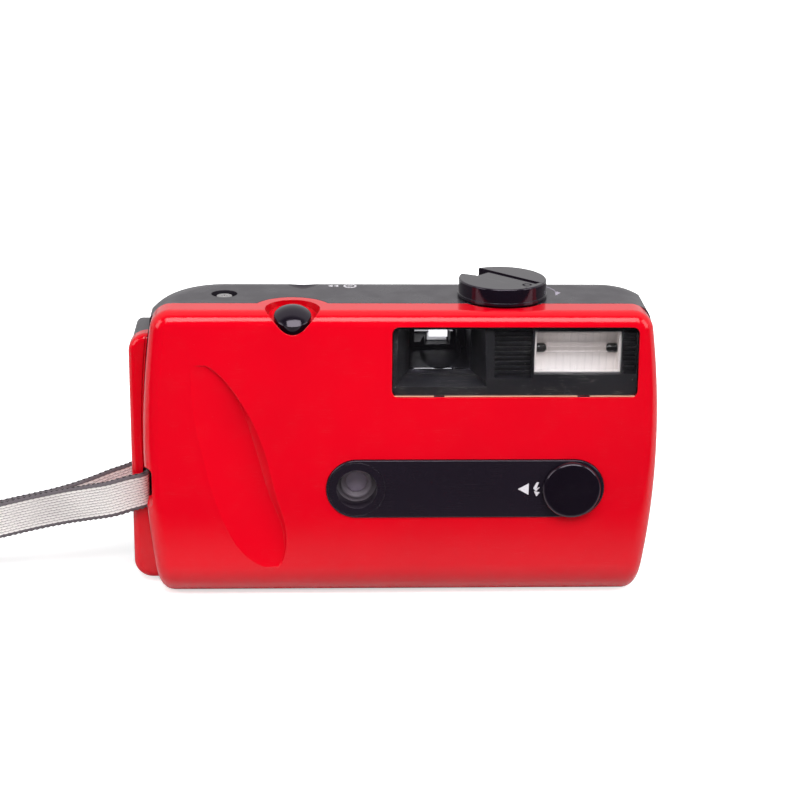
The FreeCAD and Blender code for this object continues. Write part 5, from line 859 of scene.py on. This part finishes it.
BOARD = CircuitLaminate("circuit laminate", shade(36, 84, 40), 0.35)
SLEEVE = PrintedSleeve("capacitor sleeve", shade(24, 26, 44), 0.3)
WINDING = WoundCoil("copper winding", shade(190, 96, 44), 0.3)
FOAM = CellFoam("light seal foam", shade(40, 39, 40), 0.95)
LAMP = ClearMoulding("amber lamp lens", (0.28, 0.03, 0.01, 1.0), 0.12, dust=0.1)
WEBBING = WovenTape("grey wrist webbing", shade(252, 247, 244), 0.85)
WHITE_INK = PrintedInk("white print", shade(226, 222, 228), 0.5)
FADED_INK = PrintedInk("faded white print", shade(176, 168, 184), 0.5)
DARK_INK = PrintedInk("black print", shade(24, 24, 26), 0.5, under=shade(190, 188, 180))
# Painted highlight: a pale pinkish tan ink stands in for the lit lower edge of the clear pane.
EDGE_GLINT = PrintedInk("painted glint on window edge", shade(222, 168, 140), 0.35, under=shade(170, 110, 90))
# Painted light: a white sheet that glows stands in for the daylight seen through the finder.
DAYLIGHT = PrintedInk("painted daylight in finder", shade(250, 250, 252), 0.6, under=shade(240, 240, 242), glow=1.3)

SLOT_FINISH: dict[Slot, Finish] = {
    Slot.RED_SHELL: RED, Slot.BLACK_SHELL: BLACK, Slot.INNER_BLACK: INNER, Slot.PLATE_BLACK: PLATE,
    Slot.KNOB_BLACK: KNOB, Slot.CONTROL_BLACK: CONTROL, Slot.GEAR_WHITE: GEAR, Slot.DIAL_WHITE: DIAL,
    Slot.CLEAR_PANE: PANE, Slot.OPTIC: LENS_GLASS, Slot.TUBE_GLASS: TUBE_GLASS,
    Slot.REFLECTOR: REFLECTOR, Slot.STEEL: STEEL, Slot.PLATE_STEEL: PLATE_STEEL,
    Slot.SHUTTER_METAL: SHUTTER, Slot.CONTACT: CONTACT, Slot.SCREW: SCREW, Slot.BRASS: BRASS,
    Slot.BOARD: BOARD, Slot.CAPACITOR_SLEEVE: SLEEVE, Slot.WINDING: WINDING, Slot.FOAM: FOAM,
    Slot.LAMP: LAMP, Slot.WEBBING: WEBBING,
}


# Meshes


def middle(node: str) -> Vector:
    """Return the middle of a node's box."""
    low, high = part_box(node)
    return (low + high) / 2


def add_piece(name: str, mesh: bpy.types.Mesh, finish: Finish, body: Body,
              smooth: bool = True) -> bpy.types.Object:
    """Add a mesh to the scene as a piece that rides on a body.

    Args:
        name: The piece's name.
        mesh: Its mesh, in the frame's place.
        finish: Its finish.
        body: The body that carries it.
        smooth: Whether its faces are shaded smooth.

    Returns:
        The new object.
    """
    mesh.name = name
    for face in mesh.polygons:
        face.use_smooth = smooth
    mesh.materials.clear()
    mesh.materials.append(finish.material())
    piece = bpy.data.objects.new(name, mesh)
    bpy.context.scene.collection.objects.link(piece)
    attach(piece, body.value)
    return piece


class Surface:
    """The outside of one or more nodes, to lay prints and trim on."""

    def __init__(self, *nodes: str) -> None:
        """Build a search tree of the nodes' faces."""
        points: list[Vector] = []
        faces: list[list[int]] = []
        for node in nodes:
            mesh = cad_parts[node].data
            start = len(points)
            points += [vertex.co.copy() for vertex in mesh.vertices]
            faces += [[start + corner for corner in face.vertices] for face in mesh.polygons]
        self.tree = BVHTree.FromPolygons(points, faces)

    def hit(self, start: Vector, way: Vector) -> Vector:
        """Return where a ray from start meets the surface.

        Args:
            start: A point outside.
            way: The ray's direction.

        Returns:
            The meeting point, or start where there is none.
        """
        place = self.tree.ray_cast(start, way)[0]
        return start if place is None else place


@dataclass
class PrintedMark:
    """A thin print laid on a surface.

    Attributes:
        name: The piece's name.
        shapes: Outlines in millimetres on the print's own plane.
        origin: Where the print's plane touches the object.
        right: The plane's first direction.
        up: The plane's second direction.
        surface: What the print lies on.
        body: The body that carries it.
        slot: The record's slot that it belongs to; not used.
        ink: Its finish.
        thick: How far the ink stands up.
    """

    name: str
    shapes: list[Outline]
    origin: Vector
    right: Vector
    up: Vector
    surface: Surface
    body: Body
    slot: Slot
    ink: Finish = WHITE_INK
    thick: float = 0.02 * MM

    def build(self) -> bpy.types.Object:
        """Lay the outlines on the surface and give them their thickness."""
        out = self.right.cross(self.up).normalized()
        made = bmesh.new()
        for shape in self.shapes:
            corners = []
            for across, along in shape:
                start = self.origin + (self.right * across + self.up * along) * MM + out * 4 * MM
                place = self.surface.hit(start, -out)
                corners.append(made.verts.new(place + out * self.thick))
            made.faces.new(corners)
        bmesh.ops.remove_doubles(made, verts=made.verts, dist=0.002 * MM)
        bmesh.ops.recalc_face_normals(made, faces=made.faces)
        for face in made.faces:
            if face.normal.dot(out) < 0:
                face.normal_flip()
        bmesh.ops.solidify(made, geom=made.faces[:], thickness=self.thick * 2)
        mesh = bpy.data.meshes.new(self.name)
        made.to_mesh(mesh)
        made.free()
        return add_piece(self.name, mesh, self.ink, self.body, smooth=False)


def band(inner: float, outer: float, start: float, end: float, steps: int = 32,
         centre: tuple[float, float] = (0.0, 0.0)) -> list[Outline]:
    """Return the pieces of a flat curved band.

    Args:
        inner: Inner radius.
        outer: Outer radius.
        start: First angle in degrees.
        end: Last angle in degrees.
        steps: How many pieces make it.
        centre: The band's centre.

    Returns:
        One four-cornered outline per piece.
    """
    angles = [math.radians(start + (end - start) * step / steps) for step in range(steps + 1)]

    def at(radius: float, angle: float) -> tuple[float, float]:
        """Return a point of the band."""
        return (centre[0] + radius * math.cos(angle), centre[1] + radius * math.sin(angle))

    return [[at(inner, one), at(outer, one), at(outer, two), at(inner, two)]
            for one, two in zip(angles, angles[1:])]


def block(low: Sequence[float], high: Sequence[float], edge: float, name: str) -> bpy.types.Mesh:
    """Return a box with bevelled edges.

    Args:
        low: Lowest corner.
        high: Highest corner.
        edge: Width of the bevels.
        name: The mesh's name.

    Returns:
        The mesh.
    """
    made = bmesh.new()
    bmesh.ops.create_cube(made, size=1.0)
    for vertex in made.verts:
        vertex.co = Vector([a + (b - a) * (0.5 + part) for a, b, part in zip(low, high, vertex.co)])
    bmesh.ops.bevel(made, geom=made.edges[:], offset=edge, segments=2, affect="EDGES", profile=0.5)
    mesh = bpy.data.meshes.new(name)
    made.to_mesh(mesh)
    made.free()
    return mesh


def turned(profile: Iterable[tuple[float, float]], centre: Vector, axis: Vector, name: str,
           steps: int = 48) -> bpy.types.Mesh:
    """Return a shape turned round an axis.

    Args:
        profile: Radius and distance along the axis, in metres, from one end to the other.
        centre: Where the axis starts.
        axis: The axis' direction.
        name: The mesh's name.
        steps: Faces round the axis.

    Returns:
        The closed mesh.
    """
    way = axis.normalized()
    side = way.orthogonal().normalized()
    other = way.cross(side)
    made = bmesh.new()
    rings = []
    for radius, along in profile:
        ring = []
        for step in range(steps):
            angle = 2 * math.pi * step / steps
            spoke = side * math.cos(angle) + other * math.sin(angle)
            ring.append(made.verts.new(centre + way * along + spoke * radius))
        rings.append(ring)
    for one, two in zip(rings, rings[1:]):
        for step in range(steps):
            after = (step + 1) % steps
            made.faces.new((one[step], one[after], two[after], two[step]))
    made.faces.new(list(reversed(rings[0])))
    made.faces.new(rings[-1])
    bmesh.ops.recalc_face_normals(made, faces=made.faces)
    mesh = bpy.data.meshes.new(name)
    made.to_mesh(mesh)
    made.free()
    return mesh


# The camera that takes the picture, and the strap


@dataclass
class Viewpoint:
    """The lens and place that give the photograph's framing.

    Attributes:
        focal: Focal length in pixels of the picture.
        picture: Width and height of the picture in pixels.
        elevation: How far the lens looks down, in degrees.
        yaw: How far it is turned to the right, in degrees.
        roll: How far it is rolled, in degrees.
        distance: From the lens to the aim point.
        aim_pixel: Where the aim point shows in the picture.
        aim: The point that it is aimed at.
    """

    focal: float = 2050.0
    picture: float = 800.0
    elevation: float = 19.0
    yaw: float = 2.75
    roll: float = 0.84
    distance: float = 450.9 * MM
    aim_pixel: tuple[float, float] = (400.0, 437.0)
    aim: Vector = field(default_factory=lambda: Vector((1.15, -16.07, 38.83)) * MM)

    def build(self) -> bpy.types.Object:
        """Make the camera and set it as the scene's."""
        tilt, turn, roll = (math.radians(part) for part in (self.elevation, self.yaw, self.roll))
        ahead = Vector((math.sin(turn) * math.cos(tilt), math.cos(turn) * math.cos(tilt), -math.sin(tilt)))
        level = Vector((math.cos(turn), -math.sin(turn), 0.0))
        right = level * math.cos(roll) + level.cross(ahead) * math.sin(roll)
        up = right.cross(ahead)
        across = (self.aim_pixel[0] - self.picture / 2) / self.focal
        rise = -(self.aim_pixel[1] - self.picture / 2) / self.focal
        place = self.aim - self.distance * (ahead + across * right + rise * up)
        lens = bpy.data.cameras.new("viewpoint")
        lens.sensor_width = 36.0
        lens.lens = self.focal * lens.sensor_width / self.picture
        lens.clip_start = 0.01
        lens.clip_end = 20.0
        made = bpy.data.objects.new("viewpoint", lens)
        made.matrix_world = Matrix.Translation(place) @ Matrix((right, up, -ahead)).transposed().to_4x4()
        bpy.context.scene.collection.objects.link(made)
        bpy.context.scene.camera = made
        return made


@dataclass
class WristStrap:
    """The woven loop that goes round the bar of the side piece.

    Attributes:
        route: Points that the strap's line follows, in millimetres.
        width: The tape's width.
        thick: The tape's thickness.
        length: The loop's length; not used.
        stitch: Length of one stitch.
        border: Width of each rolled border.
        swell: How far the yarns stand up.
    """

    ROWS = 11

    route: list[tuple[float, float, float]] = field(default_factory=lambda: [
        (-55.1, -2.2, 23.5), (-55.3, 0.6, 23.5), (-55.1, 3.4, 23.3), (-59.6, 3.3, 21.3),
        (-63.5, 2.6, 20.4), (-68.5, 0.4, 19.0), (-75.0, -1.0, 17.2), (-84.0, -1.3, 15.2),
        (-96.0, -0.9, 12.2), (-108.0, 0.6, 9.3), (-121.0, 3.6, 6.6), (-136.0, 7.6, 4.6),
        (-153.0, 11.0, 4.3), (-170.0, 11.8, 4.3), (-186.0, 8.6, 4.3), (-196.0, 1.6, 4.3),
        (-197.0, -7.0, 4.3), (-188.0, -14.0, 4.3), (-173.0, -17.0, 4.3), (-156.0, -16.0, 4.3),
        (-139.0, -12.6, 4.6), (-123.0, -8.4, 6.4), (-109.0, -5.2, 9.2), (-96.0, -3.6, 12.4),
        (-84.0, -3.4, 15.5), (-75.0, -3.9, 17.7), (-68.5, -5.6, 19.4), (-63.5, -7.6, 20.9),
        (-59.6, -8.1, 22.4), (-55.1, -8.1, 23.5), (-55.3, -5.2, 23.5), (-55.1, -2.3, 23.5)])
    width: float = 8.4 * MM
    thick: float = 1.1 * MM
    length: float = 313.5 * MM
    stitch: float = 1.3 * MM
    border: float = 0.8 * MM
    swell: float = 0.1 * MM

    def line(self) -> list[Vector]:
        """Return points along the strap's own smooth curve, from one end to the other."""
        curve = bpy.data.curves.new("strap line", "CURVE")
        curve.dimensions = "3D"
        curve.resolution_u = 24
        spline = curve.splines.new("NURBS")
        spline.points.add(len(self.route) - 1)
        for point, place in zip(spline.points, self.route):
            point.co = (*(Vector(place) * MM), 1.0)
        spline.order_u = 3
        spline.use_endpoint_u = True
        holder = bpy.data.objects.new("strap line", curve)
        bpy.context.scene.collection.objects.link(holder)
        bpy.context.view_layer.update()
        graph = bpy.context.evaluated_depsgraph_get()
        traced = bpy.data.meshes.new_from_object(holder.evaluated_get(graph), depsgraph=graph)
        points = [vertex.co.copy() for vertex in traced.vertices]
        bpy.data.objects.remove(holder)
        bpy.data.meshes.remove(traced)
        return points

    def stations(self, points: list[Vector], step: float) -> list[tuple[Vector, float]]:
        """Return evenly spaced points of a line.

        Args:
            points: The line.
            step: The spacing to aim at.

        Returns:
            Each point with its distance along the line.
        """
        lengths = [0.0]
        for one, two in zip(points, points[1:]):
            lengths.append(lengths[-1] + (two - one).length)
        count = max(2, round(lengths[-1] / step))
        found = []
        place = 0
        for number in range(count + 1):
            target = lengths[-1] * number / count
            while place < len(lengths) - 2 and lengths[place + 1] < target:
                place += 1
            part = (target - lengths[place]) / max(lengths[place + 1] - lengths[place], 1e-9)
            found.append((points[place].lerp(points[place + 1], part), target))
        return found

    def section(self) -> list[tuple[float, float, float]]:
        """Return the tape's cross-section.

        Returns:
            For each corner, its place across the width, its place through the thickness from -1 to 1 and
            its weave row.
        """
        half = self.width / 2
        face = half - self.border
        row = 2 * face / self.ROWS
        side = [(-face + row * step / 3, (step / 3)) for step in range(3 * self.ROWS + 1)]
        rim = [(0.0, 0.15), (0.3, 0.78), (0.62, 1.0), (0.9, 0.92)]
        front = [(-half + self.border * part, level, -1.0 + part) for part, level in rim]
        front += [(across, 0.86, weave) for across, weave in side]
        front += [(half - self.border * part, level, self.ROWS + 1.0 - part)
                  for part, level in reversed(rim)]
        back = [(across, -level, weave) for across, level, weave in reversed(front)]
        return front + back

    def mesh(self, points: list[Vector]) -> bpy.types.Mesh:
        """Return the tape's woven mesh with its weave map.

        Args:
            points: The line that it follows.

        Returns:
            The closed mesh.
        """
        stops = self.stations(points, self.stitch / 4)
        corners = self.section()
        places: list[Vector] = []
        maps: list[tuple[float, float]] = []
        for number, (place, along) in enumerate(stops):
            before = stops[max(number - 1, 0)][0]
            after = stops[min(number + 1, len(stops) - 1)][0]
            ahead = (after - before).normalized()
            up = (Vector((0, 0, 1)) - ahead * ahead.z).normalized()
            out = ahead.cross(up)
            stitch = along / self.stitch
            for across, level, row in corners:
                turn = stitch + 0.5 * (math.floor(row) % 2)
                lift = self.swell * math.cos(2 * math.pi * (turn - 0.5))
                inside = row - math.floor(row)
                lift *= math.sin(math.pi * inside) if 0 <= row <= self.ROWS else 1.0
                reach = level * (self.thick / 2 - self.swell) + math.copysign(lift, level) * (
                    1.0 if lift > 0 else -1.0)
                rim = 0.0 if 0 <= row <= self.ROWS else lift * math.copysign(0.8, across)
                places.append(place + up * (across + rim) + out * reach)
                maps.append((stitch, row))
        size = len(corners)
        faces = []
        for number in range(len(stops) - 1):
            for corner in range(size):
                after = (corner + 1) % size
                one, two = number * size, (number + 1) * size
                faces.append((one + corner, one + after, two + after, two + corner))
        faces.append(tuple(range(size)))
        faces.append(tuple(reversed(range((len(stops) - 1) * size, len(stops) * size))))
        mesh = bpy.data.meshes.new("wrist_webbing")
        mesh.from_pydata(places, [], faces)
        layer = mesh.uv_layers.new(name=WEAVE_MAP)
        for loop in mesh.loops:
            layer.data[loop.index].uv = maps[loop.vertex_index]
        mesh.validate()
        mesh.update()
        return mesh

    def build(self) -> None:
        points = self.line()
        piece = add_piece("wrist_webbing", self.mesh(points), WEBBING, Body.CAMERA)
        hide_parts("wrist_strap")
        log.info("strap: %d points", len(points))


# The camera's sub-assemblies


@dataclass
class Finishing:
    """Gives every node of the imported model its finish.

    Attributes:
        special: Nodes whose finish isn't their slot's.
    """

    special: dict[str, Finish] = field(default_factory=dict)

    def build(self) -> None:
        """Replace the plain materials of all nodes."""
        for name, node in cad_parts.items():
            plain = node.material_slots[0].material.name if node.material_slots else Slot.INNER_BLACK.value
            finish = self.special.get(name) or SLOT_FINISH[Slot(plain.split(".")[0])]
            node.data.materials.clear()
            node.data.materials.append(finish.material())
        log.info("finished %d nodes", len(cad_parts))


@dataclass
class TopDeck:
    """Printed marks on the black top.

    Attributes:
        advance_place: Middle of the two arrows and ring behind the button.
        ring: Radius of that ring.
        turn_radius: Radius of the arrow round the rewind knob.
        line: Width of the printed lines.
        fine: Width of the rewind arrow's line.
    """

    advance_place: tuple[float, float] = (-11.3, 6.8)
    ring: float = 1.5
    turn_radius: float = 12.9
    line: float = 0.45
    fine: float = 0.28

    def deck_mark(self, name: str, shapes: list[Outline], x: float, y: float,
                  ink: PrintedInk = WHITE_INK) -> None:
        """Print shapes on the top.

        Args:
            name: The piece's name.
            shapes: Outlines about the print's middle.
            x: The middle's place across.
            y: The middle's place from front to rear.
            ink: The print's finish.
        """
        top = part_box("top_cover")[1].z
        PrintedMark(name, shapes, Vector((x * MM, y * MM, top)), Vector((1, 0, 0)), Vector((0, 1, 0)),
                    Surface("top_cover"), Body.CAMERA, Slot.BLACK_SHELL, ink).build()

    def build(self) -> None:
        """Print the frame counter's mark and the rewind arrow."""
        x, y = self.advance_place
        ring = band(self.ring - self.line, self.ring, 0, 360, 40, (1.75, 0.0))
        bar = [[(1.2, -0.22), (2.3, -0.22), (2.3, 0.22), (1.2, 0.22)]]
        heads = [[(-3.3 + step, 0.0), (-2.2 + step, -0.75), (-2.2 + step, 0.75)] for step in (0.0, 1.3)]
        self.deck_mark("counter_mark", ring + bar + heads, x, y)
        knob = middle("rewind_knob") / MM
        radius = self.turn_radius
        arc = band(radius - self.fine / 2, radius + self.fine / 2, 36, 14, 12)
        head = [[(12.2, 4.1), (12.05, 0.0), (13.4, 2.3)]]
        self.deck_mark("rewind_arrow", arc + head, knob.x, knob.y, FADED_INK)
        log.info("top deck printed")


@dataclass
class LensFront:
    """Marks of the lens plate.

    Attributes:
        pointer: Size of the printed triangle beside the switch.
        gap: Space between the triangle and the lightning mark.
    """

    pointer: tuple[float, float] = (2.4, 2.7)
    gap: float = 0.9

    def build(self) -> None:
        """Print the flash pointer and mark, left of the switch."""
        plate_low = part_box("lens_plate")[0]
        low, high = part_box("flash_switch")
        switch = (low + high) / 2
        face = Surface("lens_plate")
        right, up = Vector((1, 0, 0)), Vector((0, 0, 1))
        edge = low.x - 0.4 * MM
        bolt_middle = Vector((edge - 0.85 * MM, plate_low.y, switch.z))
        bolt = [[(0.0, 1.6), (-0.75, 0.2), (0.05, 0.25), (0.5, 1.6)],
                [(-0.75, 0.2), (-0.1, -0.55), (0.75, 0.45), (0.05, 0.25)],
                [(-0.1, -0.55), (-0.55, -0.55), (0.05, -1.75), (0.75, -0.75)]]
        PrintedMark("flash_mark", bolt, bolt_middle, right, up, face, Body.CAMERA, Slot.PLATE_BLACK).build()
        wide, tall = self.pointer
        tri_middle = Vector((edge - (1.7 + self.gap) * MM, plate_low.y, switch.z))
        triangle = [[(-wide, 0.0), (0.0, -tall / 2), (0.0, tall / 2)]]
        PrintedMark("flash_pointer", triangle, tri_middle, right, up, face, Body.CAMERA,
                    Slot.PLATE_BLACK).build()
        log.info("lens plate printed")


@dataclass
class ViewingWindow:
    """What shows behind the clear pane besides its CAD parts.

    Attributes:
        lips: Left and right ends of the strips of painted highlight on the pane's lower edge, from the
            pane's left end.
        lip: Height and depth of those strips.
        mask: Width and height of the glowing block that paints the daylight seen through the finder.
        mask_shift: The block's middle from the finder lens's middle.
    """

    lips: list[tuple[float, float]] = field(default_factory=lambda: [(0.3, 9.1), (11.4, 40.6), (43.3, 53.4)])
    lip: tuple[float, float] = (0.24, 0.5)
    mask: tuple[float, float] = (4.1, 1.5)
    mask_shift: tuple[float, float] = (-0.5, 3.6)

    def build(self) -> None:
        """Add the three strips of painted highlight on the pane's lower edge and the glowing block of
        painted daylight in the finder.
        """
        low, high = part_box("front_window")
        tall, deep = (part * MM for part in self.lip)
        face = Surface("front_window")
        # Painted highlight: pale strips along the pane's lower edge stand in for its lit edge.
        for number, (start, end) in enumerate(self.lips):
            x = low.x + (start + end) / 2 * MM
            front = face.hit(Vector((x, low.y - 5 * MM, low.z + 0.6 * MM)), Vector((0, 1, 0)))
            mesh = block((low.x + start * MM, front.y - 0.02 * MM, low.z + 0.05 * MM),
                         (low.x + end * MM, front.y + deep, low.z + tall), 0.08 * MM, "lip")
            add_piece(f"window_edge_glint_{number + 1}", mesh, EDGE_GLINT, Body.CAMERA)
        # Painted light: a white glowing block stands in for the daylight seen through the finder.
        lens_low, lens_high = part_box("finder_front_lens")
        centre = (lens_low + lens_high) / 2
        x, z = centre.x + self.mask_shift[0] * MM, centre.z + self.mask_shift[1] * MM
        wide, high_part = (part * MM / 2 for part in self.mask)
        mesh = block((x - wide, lens_low.y - 0.06 * MM, z - high_part),
                     (x + wide, lens_low.y - 0.01 * MM, z + high_part), 0.01 * MM, "mask")
        add_piece("finder_painted_daylight", mesh, DAYLIGHT, Body.CAMERA)
        log.info("window: %d lips", len(self.lips))


@dataclass
class FlashHead:
    """Electrodes of the flash tube.

    Attributes:
        cap: Length of each electrode's dark end.
    """

    cap: float = 2.4

    def build(self) -> None:
        """Add the dark electrode at each end of the tube."""
        low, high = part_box("flash_tube")
        centre = (low + high) / 2
        radius = (high.z - low.z) / 2 * 0.62
        for number, (place, way) in enumerate(((low.x, 1.0), (high.x, -1.0))):
            start = Vector((place + way * 0.5 * MM, centre.y, centre.z))
            profile = [(radius * 0.5, 0.0), (radius, 0.15 * MM), (radius, self.cap * MM * 0.8),
                       (radius * 0.55, self.cap * MM)]
            mesh = turned(profile, start, Vector((way, 0, 0)), "electrode", 24)
            add_piece(f"flash_electrode_{number + 1}", mesh, SHUTTER, Body.CAMERA)
        log.info("flash electrodes added")


@dataclass
class CounterDial:
    """Numbers round the frame counter's drum.

    Attributes:
        tall: Height of the numbers.
        every: Frames from one number to the next.
        last: Last number.
    """

    tall: float = 1.5
    every: int = 4
    last: int = 24

    def build(self) -> None:
        """Wrap each number round the drum."""
        low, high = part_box("counter_dial")
        centre = (low + high) / 2
        radius = (high.x - low.x) / 2
        wheel_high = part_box("counter_window")
        level = (wheel_high[0].z + wheel_high[1].z) / 2
        for frame_number in range(0, self.last + 1, self.every):
            text = bpy.data.curves.new("number", "FONT")
            text.body = str(frame_number)
            text.size = self.tall * MM * 1.35
            text.align_x = "CENTER"
            text.align_y = "CENTER"
            text.extrude = 0.03 * MM
            holder = bpy.data.objects.new("number", text)
            bpy.context.scene.collection.objects.link(holder)
            bpy.context.view_layer.update()
            graph = bpy.context.evaluated_depsgraph_get()
            mesh = bpy.data.meshes.new_from_object(holder.evaluated_get(graph), depsgraph=graph)
            bpy.data.objects.remove(holder)
            turn = 2 * math.pi * frame_number / (self.last + 2)
            for vertex in mesh.vertices:
                angle = math.pi / 2 + turn - vertex.co.x / radius
                reach = radius + vertex.co.z
                vertex.co = Vector((centre.x + reach * math.cos(angle), centre.y + reach * math.sin(angle),
                                    level + vertex.co.y))
            add_piece(f"dial_number_{frame_number}", mesh, DARK_INK, Body.DIAL, False)
        log.info("frame counter numbered to %d", self.last)


# The studio


@dataclass
class SoftBox:
    """One soft studio light.

    Attributes:
        name: Its name.
        place: Where it hangs.
        size: Its width and height.
        power: Its power in watts.
    """

    name: str
    place: tuple[float, float, float]
    size: tuple[float, float]
    power: float

    def build(self, target: Vector) -> None:
        """Hang the light and turn it to the object.

        Args:
            target: The point that it faces.
        """
        lamp = bpy.data.lights.new(self.name, "AREA")
        lamp.shape = "RECTANGLE"
        lamp.size, lamp.size_y = self.size
        lamp.energy = self.power
        made = bpy.data.objects.new(self.name, lamp)
        made.location = self.place
        made.rotation_mode = "QUATERNION"
        made.rotation_quaternion = (target - Vector(self.place)).to_track_quat("-Z", "Y")
        bpy.context.scene.collection.objects.link(made)


@dataclass
class Studio:
    """White table, white backdrop and soft boxes.

    Attributes:
        floor: Half of the table's side.
        ambient: Strength of the light from all round.
        front: How bright the room in front of the table looks in reflections.
        dark_from: Where the table starts to look dark in reflections, from front to rear.
        dark_to: Where it is dark.
        glow: The table's own light near the object.
        glow_reach: Where that light starts to grow and where it is full, from the glow's middle.
        glow_shift: How the glow's middle is moved.
        glow_scale: How it is stretched.
        bounce: How much less light the table gives back to its surroundings.
        tones: The two whites of the table.
        tone_size: Size of their patches.
        unlit: The table's colour where it looks dark.
        sky: Where the room's brightness starts and ends in reflections, from front to rear.
        sink: How far the table lies below the object's feet.
        aim: Height that the soft boxes point to.
        boxes: The soft boxes.
    """

    floor: float = 3.0
    ambient: float = 0.34
    front: float = 0.02
    dark_from: float = -0.022
    dark_to: float = -0.07
    glow: float = 0.62
    glow_reach: tuple[float, float] = (0.03, 0.16)
    glow_shift: tuple[float, float, float] = (0.05, 0.0, 0.0)
    glow_scale: tuple[float, float, float] = (0.6, 1.0, 1.0)
    bounce: float = 0.5
    tones: tuple[Colour, Colour] = ((0.86, 0.86, 0.865, 1.0), (0.88, 0.88, 0.885, 1.0))
    tone_size: float = 60 * MM
    unlit: Colour = (0.02, 0.02, 0.02, 1.0)
    sky: tuple[float, float] = (-0.25, 0.1)
    sink: float = 0.02 * MM
    aim: float = 30 * MM
    boxes: list[SoftBox] = field(default_factory=lambda: [
        SoftBox("overhead box", (0.05, -0.46, 0.66), (0.75, 0.4), 6.2),
        SoftBox("left box", (-0.75, -0.35, 0.45), (0.4, 0.5), 2.4),
        SoftBox("right box", (0.75, -0.3, 0.45), (0.4, 0.5), 2.4)])

    def table(self) -> None:
        """Add the white table."""
        made = bmesh.new()
        bmesh.ops.create_grid(made, x_segments=1, y_segments=1, size=self.floor)
        mesh = bpy.data.meshes.new("table")
        made.to_mesh(mesh)
        made.free()
        material = bpy.data.materials.new("white table")
        material.use_nodes = True
        wiring = Wiring(material.node_tree)
        material.node_tree.nodes.clear()
        shader = wiring.node("ShaderNodeBsdfDiffuse")
        place = wiring.object_place()
        tone = wiring.blend(wiring.noise(place, self.tone_size, 2.0), *self.tones)
        parts = wiring.node("ShaderNodeSeparateXYZ")
        wiring.feed(parts.inputs[0], place)
        rays = wiring.node("ShaderNodeLightPath")
        ahead = wiring.span(parts.outputs[1], self.dark_from, self.dark_to)
        unlit = wiring.math("MULTIPLY", ahead, rays.outputs["Is Glossy Ray"])
        bounced = wiring.math("MULTIPLY", rays.outputs["Is Diffuse Ray"], self.bounce)
        unlit = wiring.math("MAXIMUM", unlit, bounced)
        wiring.feed(shader.inputs[0], wiring.blend(unlit, tone, self.unlit))
        glow = wiring.node("ShaderNodeEmission")
        spread = wiring.node("ShaderNodeMapping")
        wiring.feed(spread.inputs["Vector"], place)
        spread.inputs["Location"].default_value = self.glow_shift
        spread.inputs["Scale"].default_value = self.glow_scale
        length = wiring.node("ShaderNodeVectorMath", operation="LENGTH")
        wiring.feed(length.inputs[0], spread.outputs[0])
        strength = wiring.span(length.outputs["Value"], *self.glow_reach, self.glow, 1.0)
        wiring.feed(glow.inputs["Strength"], strength)
        seen = wiring.node("ShaderNodeMixShader")
        both = wiring.node("ShaderNodeAddShader")
        wiring.feed(both.inputs[0], shader.outputs[0])
        wiring.feed(both.inputs[1], glow.outputs[0])
        wiring.feed(seen.inputs[0], rays.outputs["Is Camera Ray"])
        wiring.feed(seen.inputs[1], shader.outputs[0])
        wiring.feed(seen.inputs[2], both.outputs[0])
        wiring.feed(wiring.node("ShaderNodeOutputMaterial").inputs["Surface"], seen.outputs[0])
        mesh.materials.append(material)
        piece = bpy.data.objects.new("table", mesh)
        piece.location.z = -self.sink
        bpy.context.scene.collection.objects.link(piece)

    def backdrop(self) -> None:
        """Set the white backdrop and the even light from all round."""
        world = bpy.data.worlds.new("studio")
        bpy.context.scene.world = world
        world.use_nodes = True
        wiring = Wiring(world.node_tree)
        world.node_tree.nodes.clear()
        rays = wiring.node("ShaderNodeLightPath")
        way = wiring.node("ShaderNodeSeparateXYZ")
        wiring.feed(way.inputs[0], wiring.node("ShaderNodeTexCoord").outputs["Generated"])
        mirrored = wiring.span(way.outputs[1], *self.sky, self.front, 1.0)
        mirror = wiring.math("MAXIMUM", rays.outputs["Is Glossy Ray"], rays.outputs["Is Transmission Ray"])
        level = wiring.math("MULTIPLY", mirror, mirrored)
        plain = wiring.math("MULTIPLY", wiring.math("SUBTRACT", 1.0, mirror), self.ambient)
        strength = wiring.math("MAXIMUM", wiring.math("ADD", level, plain), rays.outputs["Is Camera Ray"])
        background = wiring.node("ShaderNodeBackground")
        wiring.feed(background.inputs["Strength"], strength)
        wiring.feed(wiring.node("ShaderNodeOutputWorld").inputs["Surface"], background.outputs[0])

    def build(self) -> None:
        """Set up table, backdrop and lights."""
        self.table()
        self.backdrop()
        for box in self.boxes:
            box.build(Vector((0, 0, self.aim)))
        settings = bpy.context.scene.view_settings
        settings.view_transform = "Standard"
        log.info("studio: %d soft boxes", len(self.boxes))


def main() -> None:
    """Build the viewpoint, the strap and then every sub-assembly."""
    logging.basicConfig(level=logging.INFO, format="%(name)s: %(message)s")
    Viewpoint().build()
    WristStrap().build()
    Finishing({"lens_barrel": LIFTED_LENS_RING, "front_lens": TAKING_LENS_PAINTED_REFLECTION}).build()
    for part in (TopDeck(), LensFront(), ViewingWindow(), FlashHead(), CounterDial(), Studio()):
        part.build()


if __name__ == "__main__":
    main()
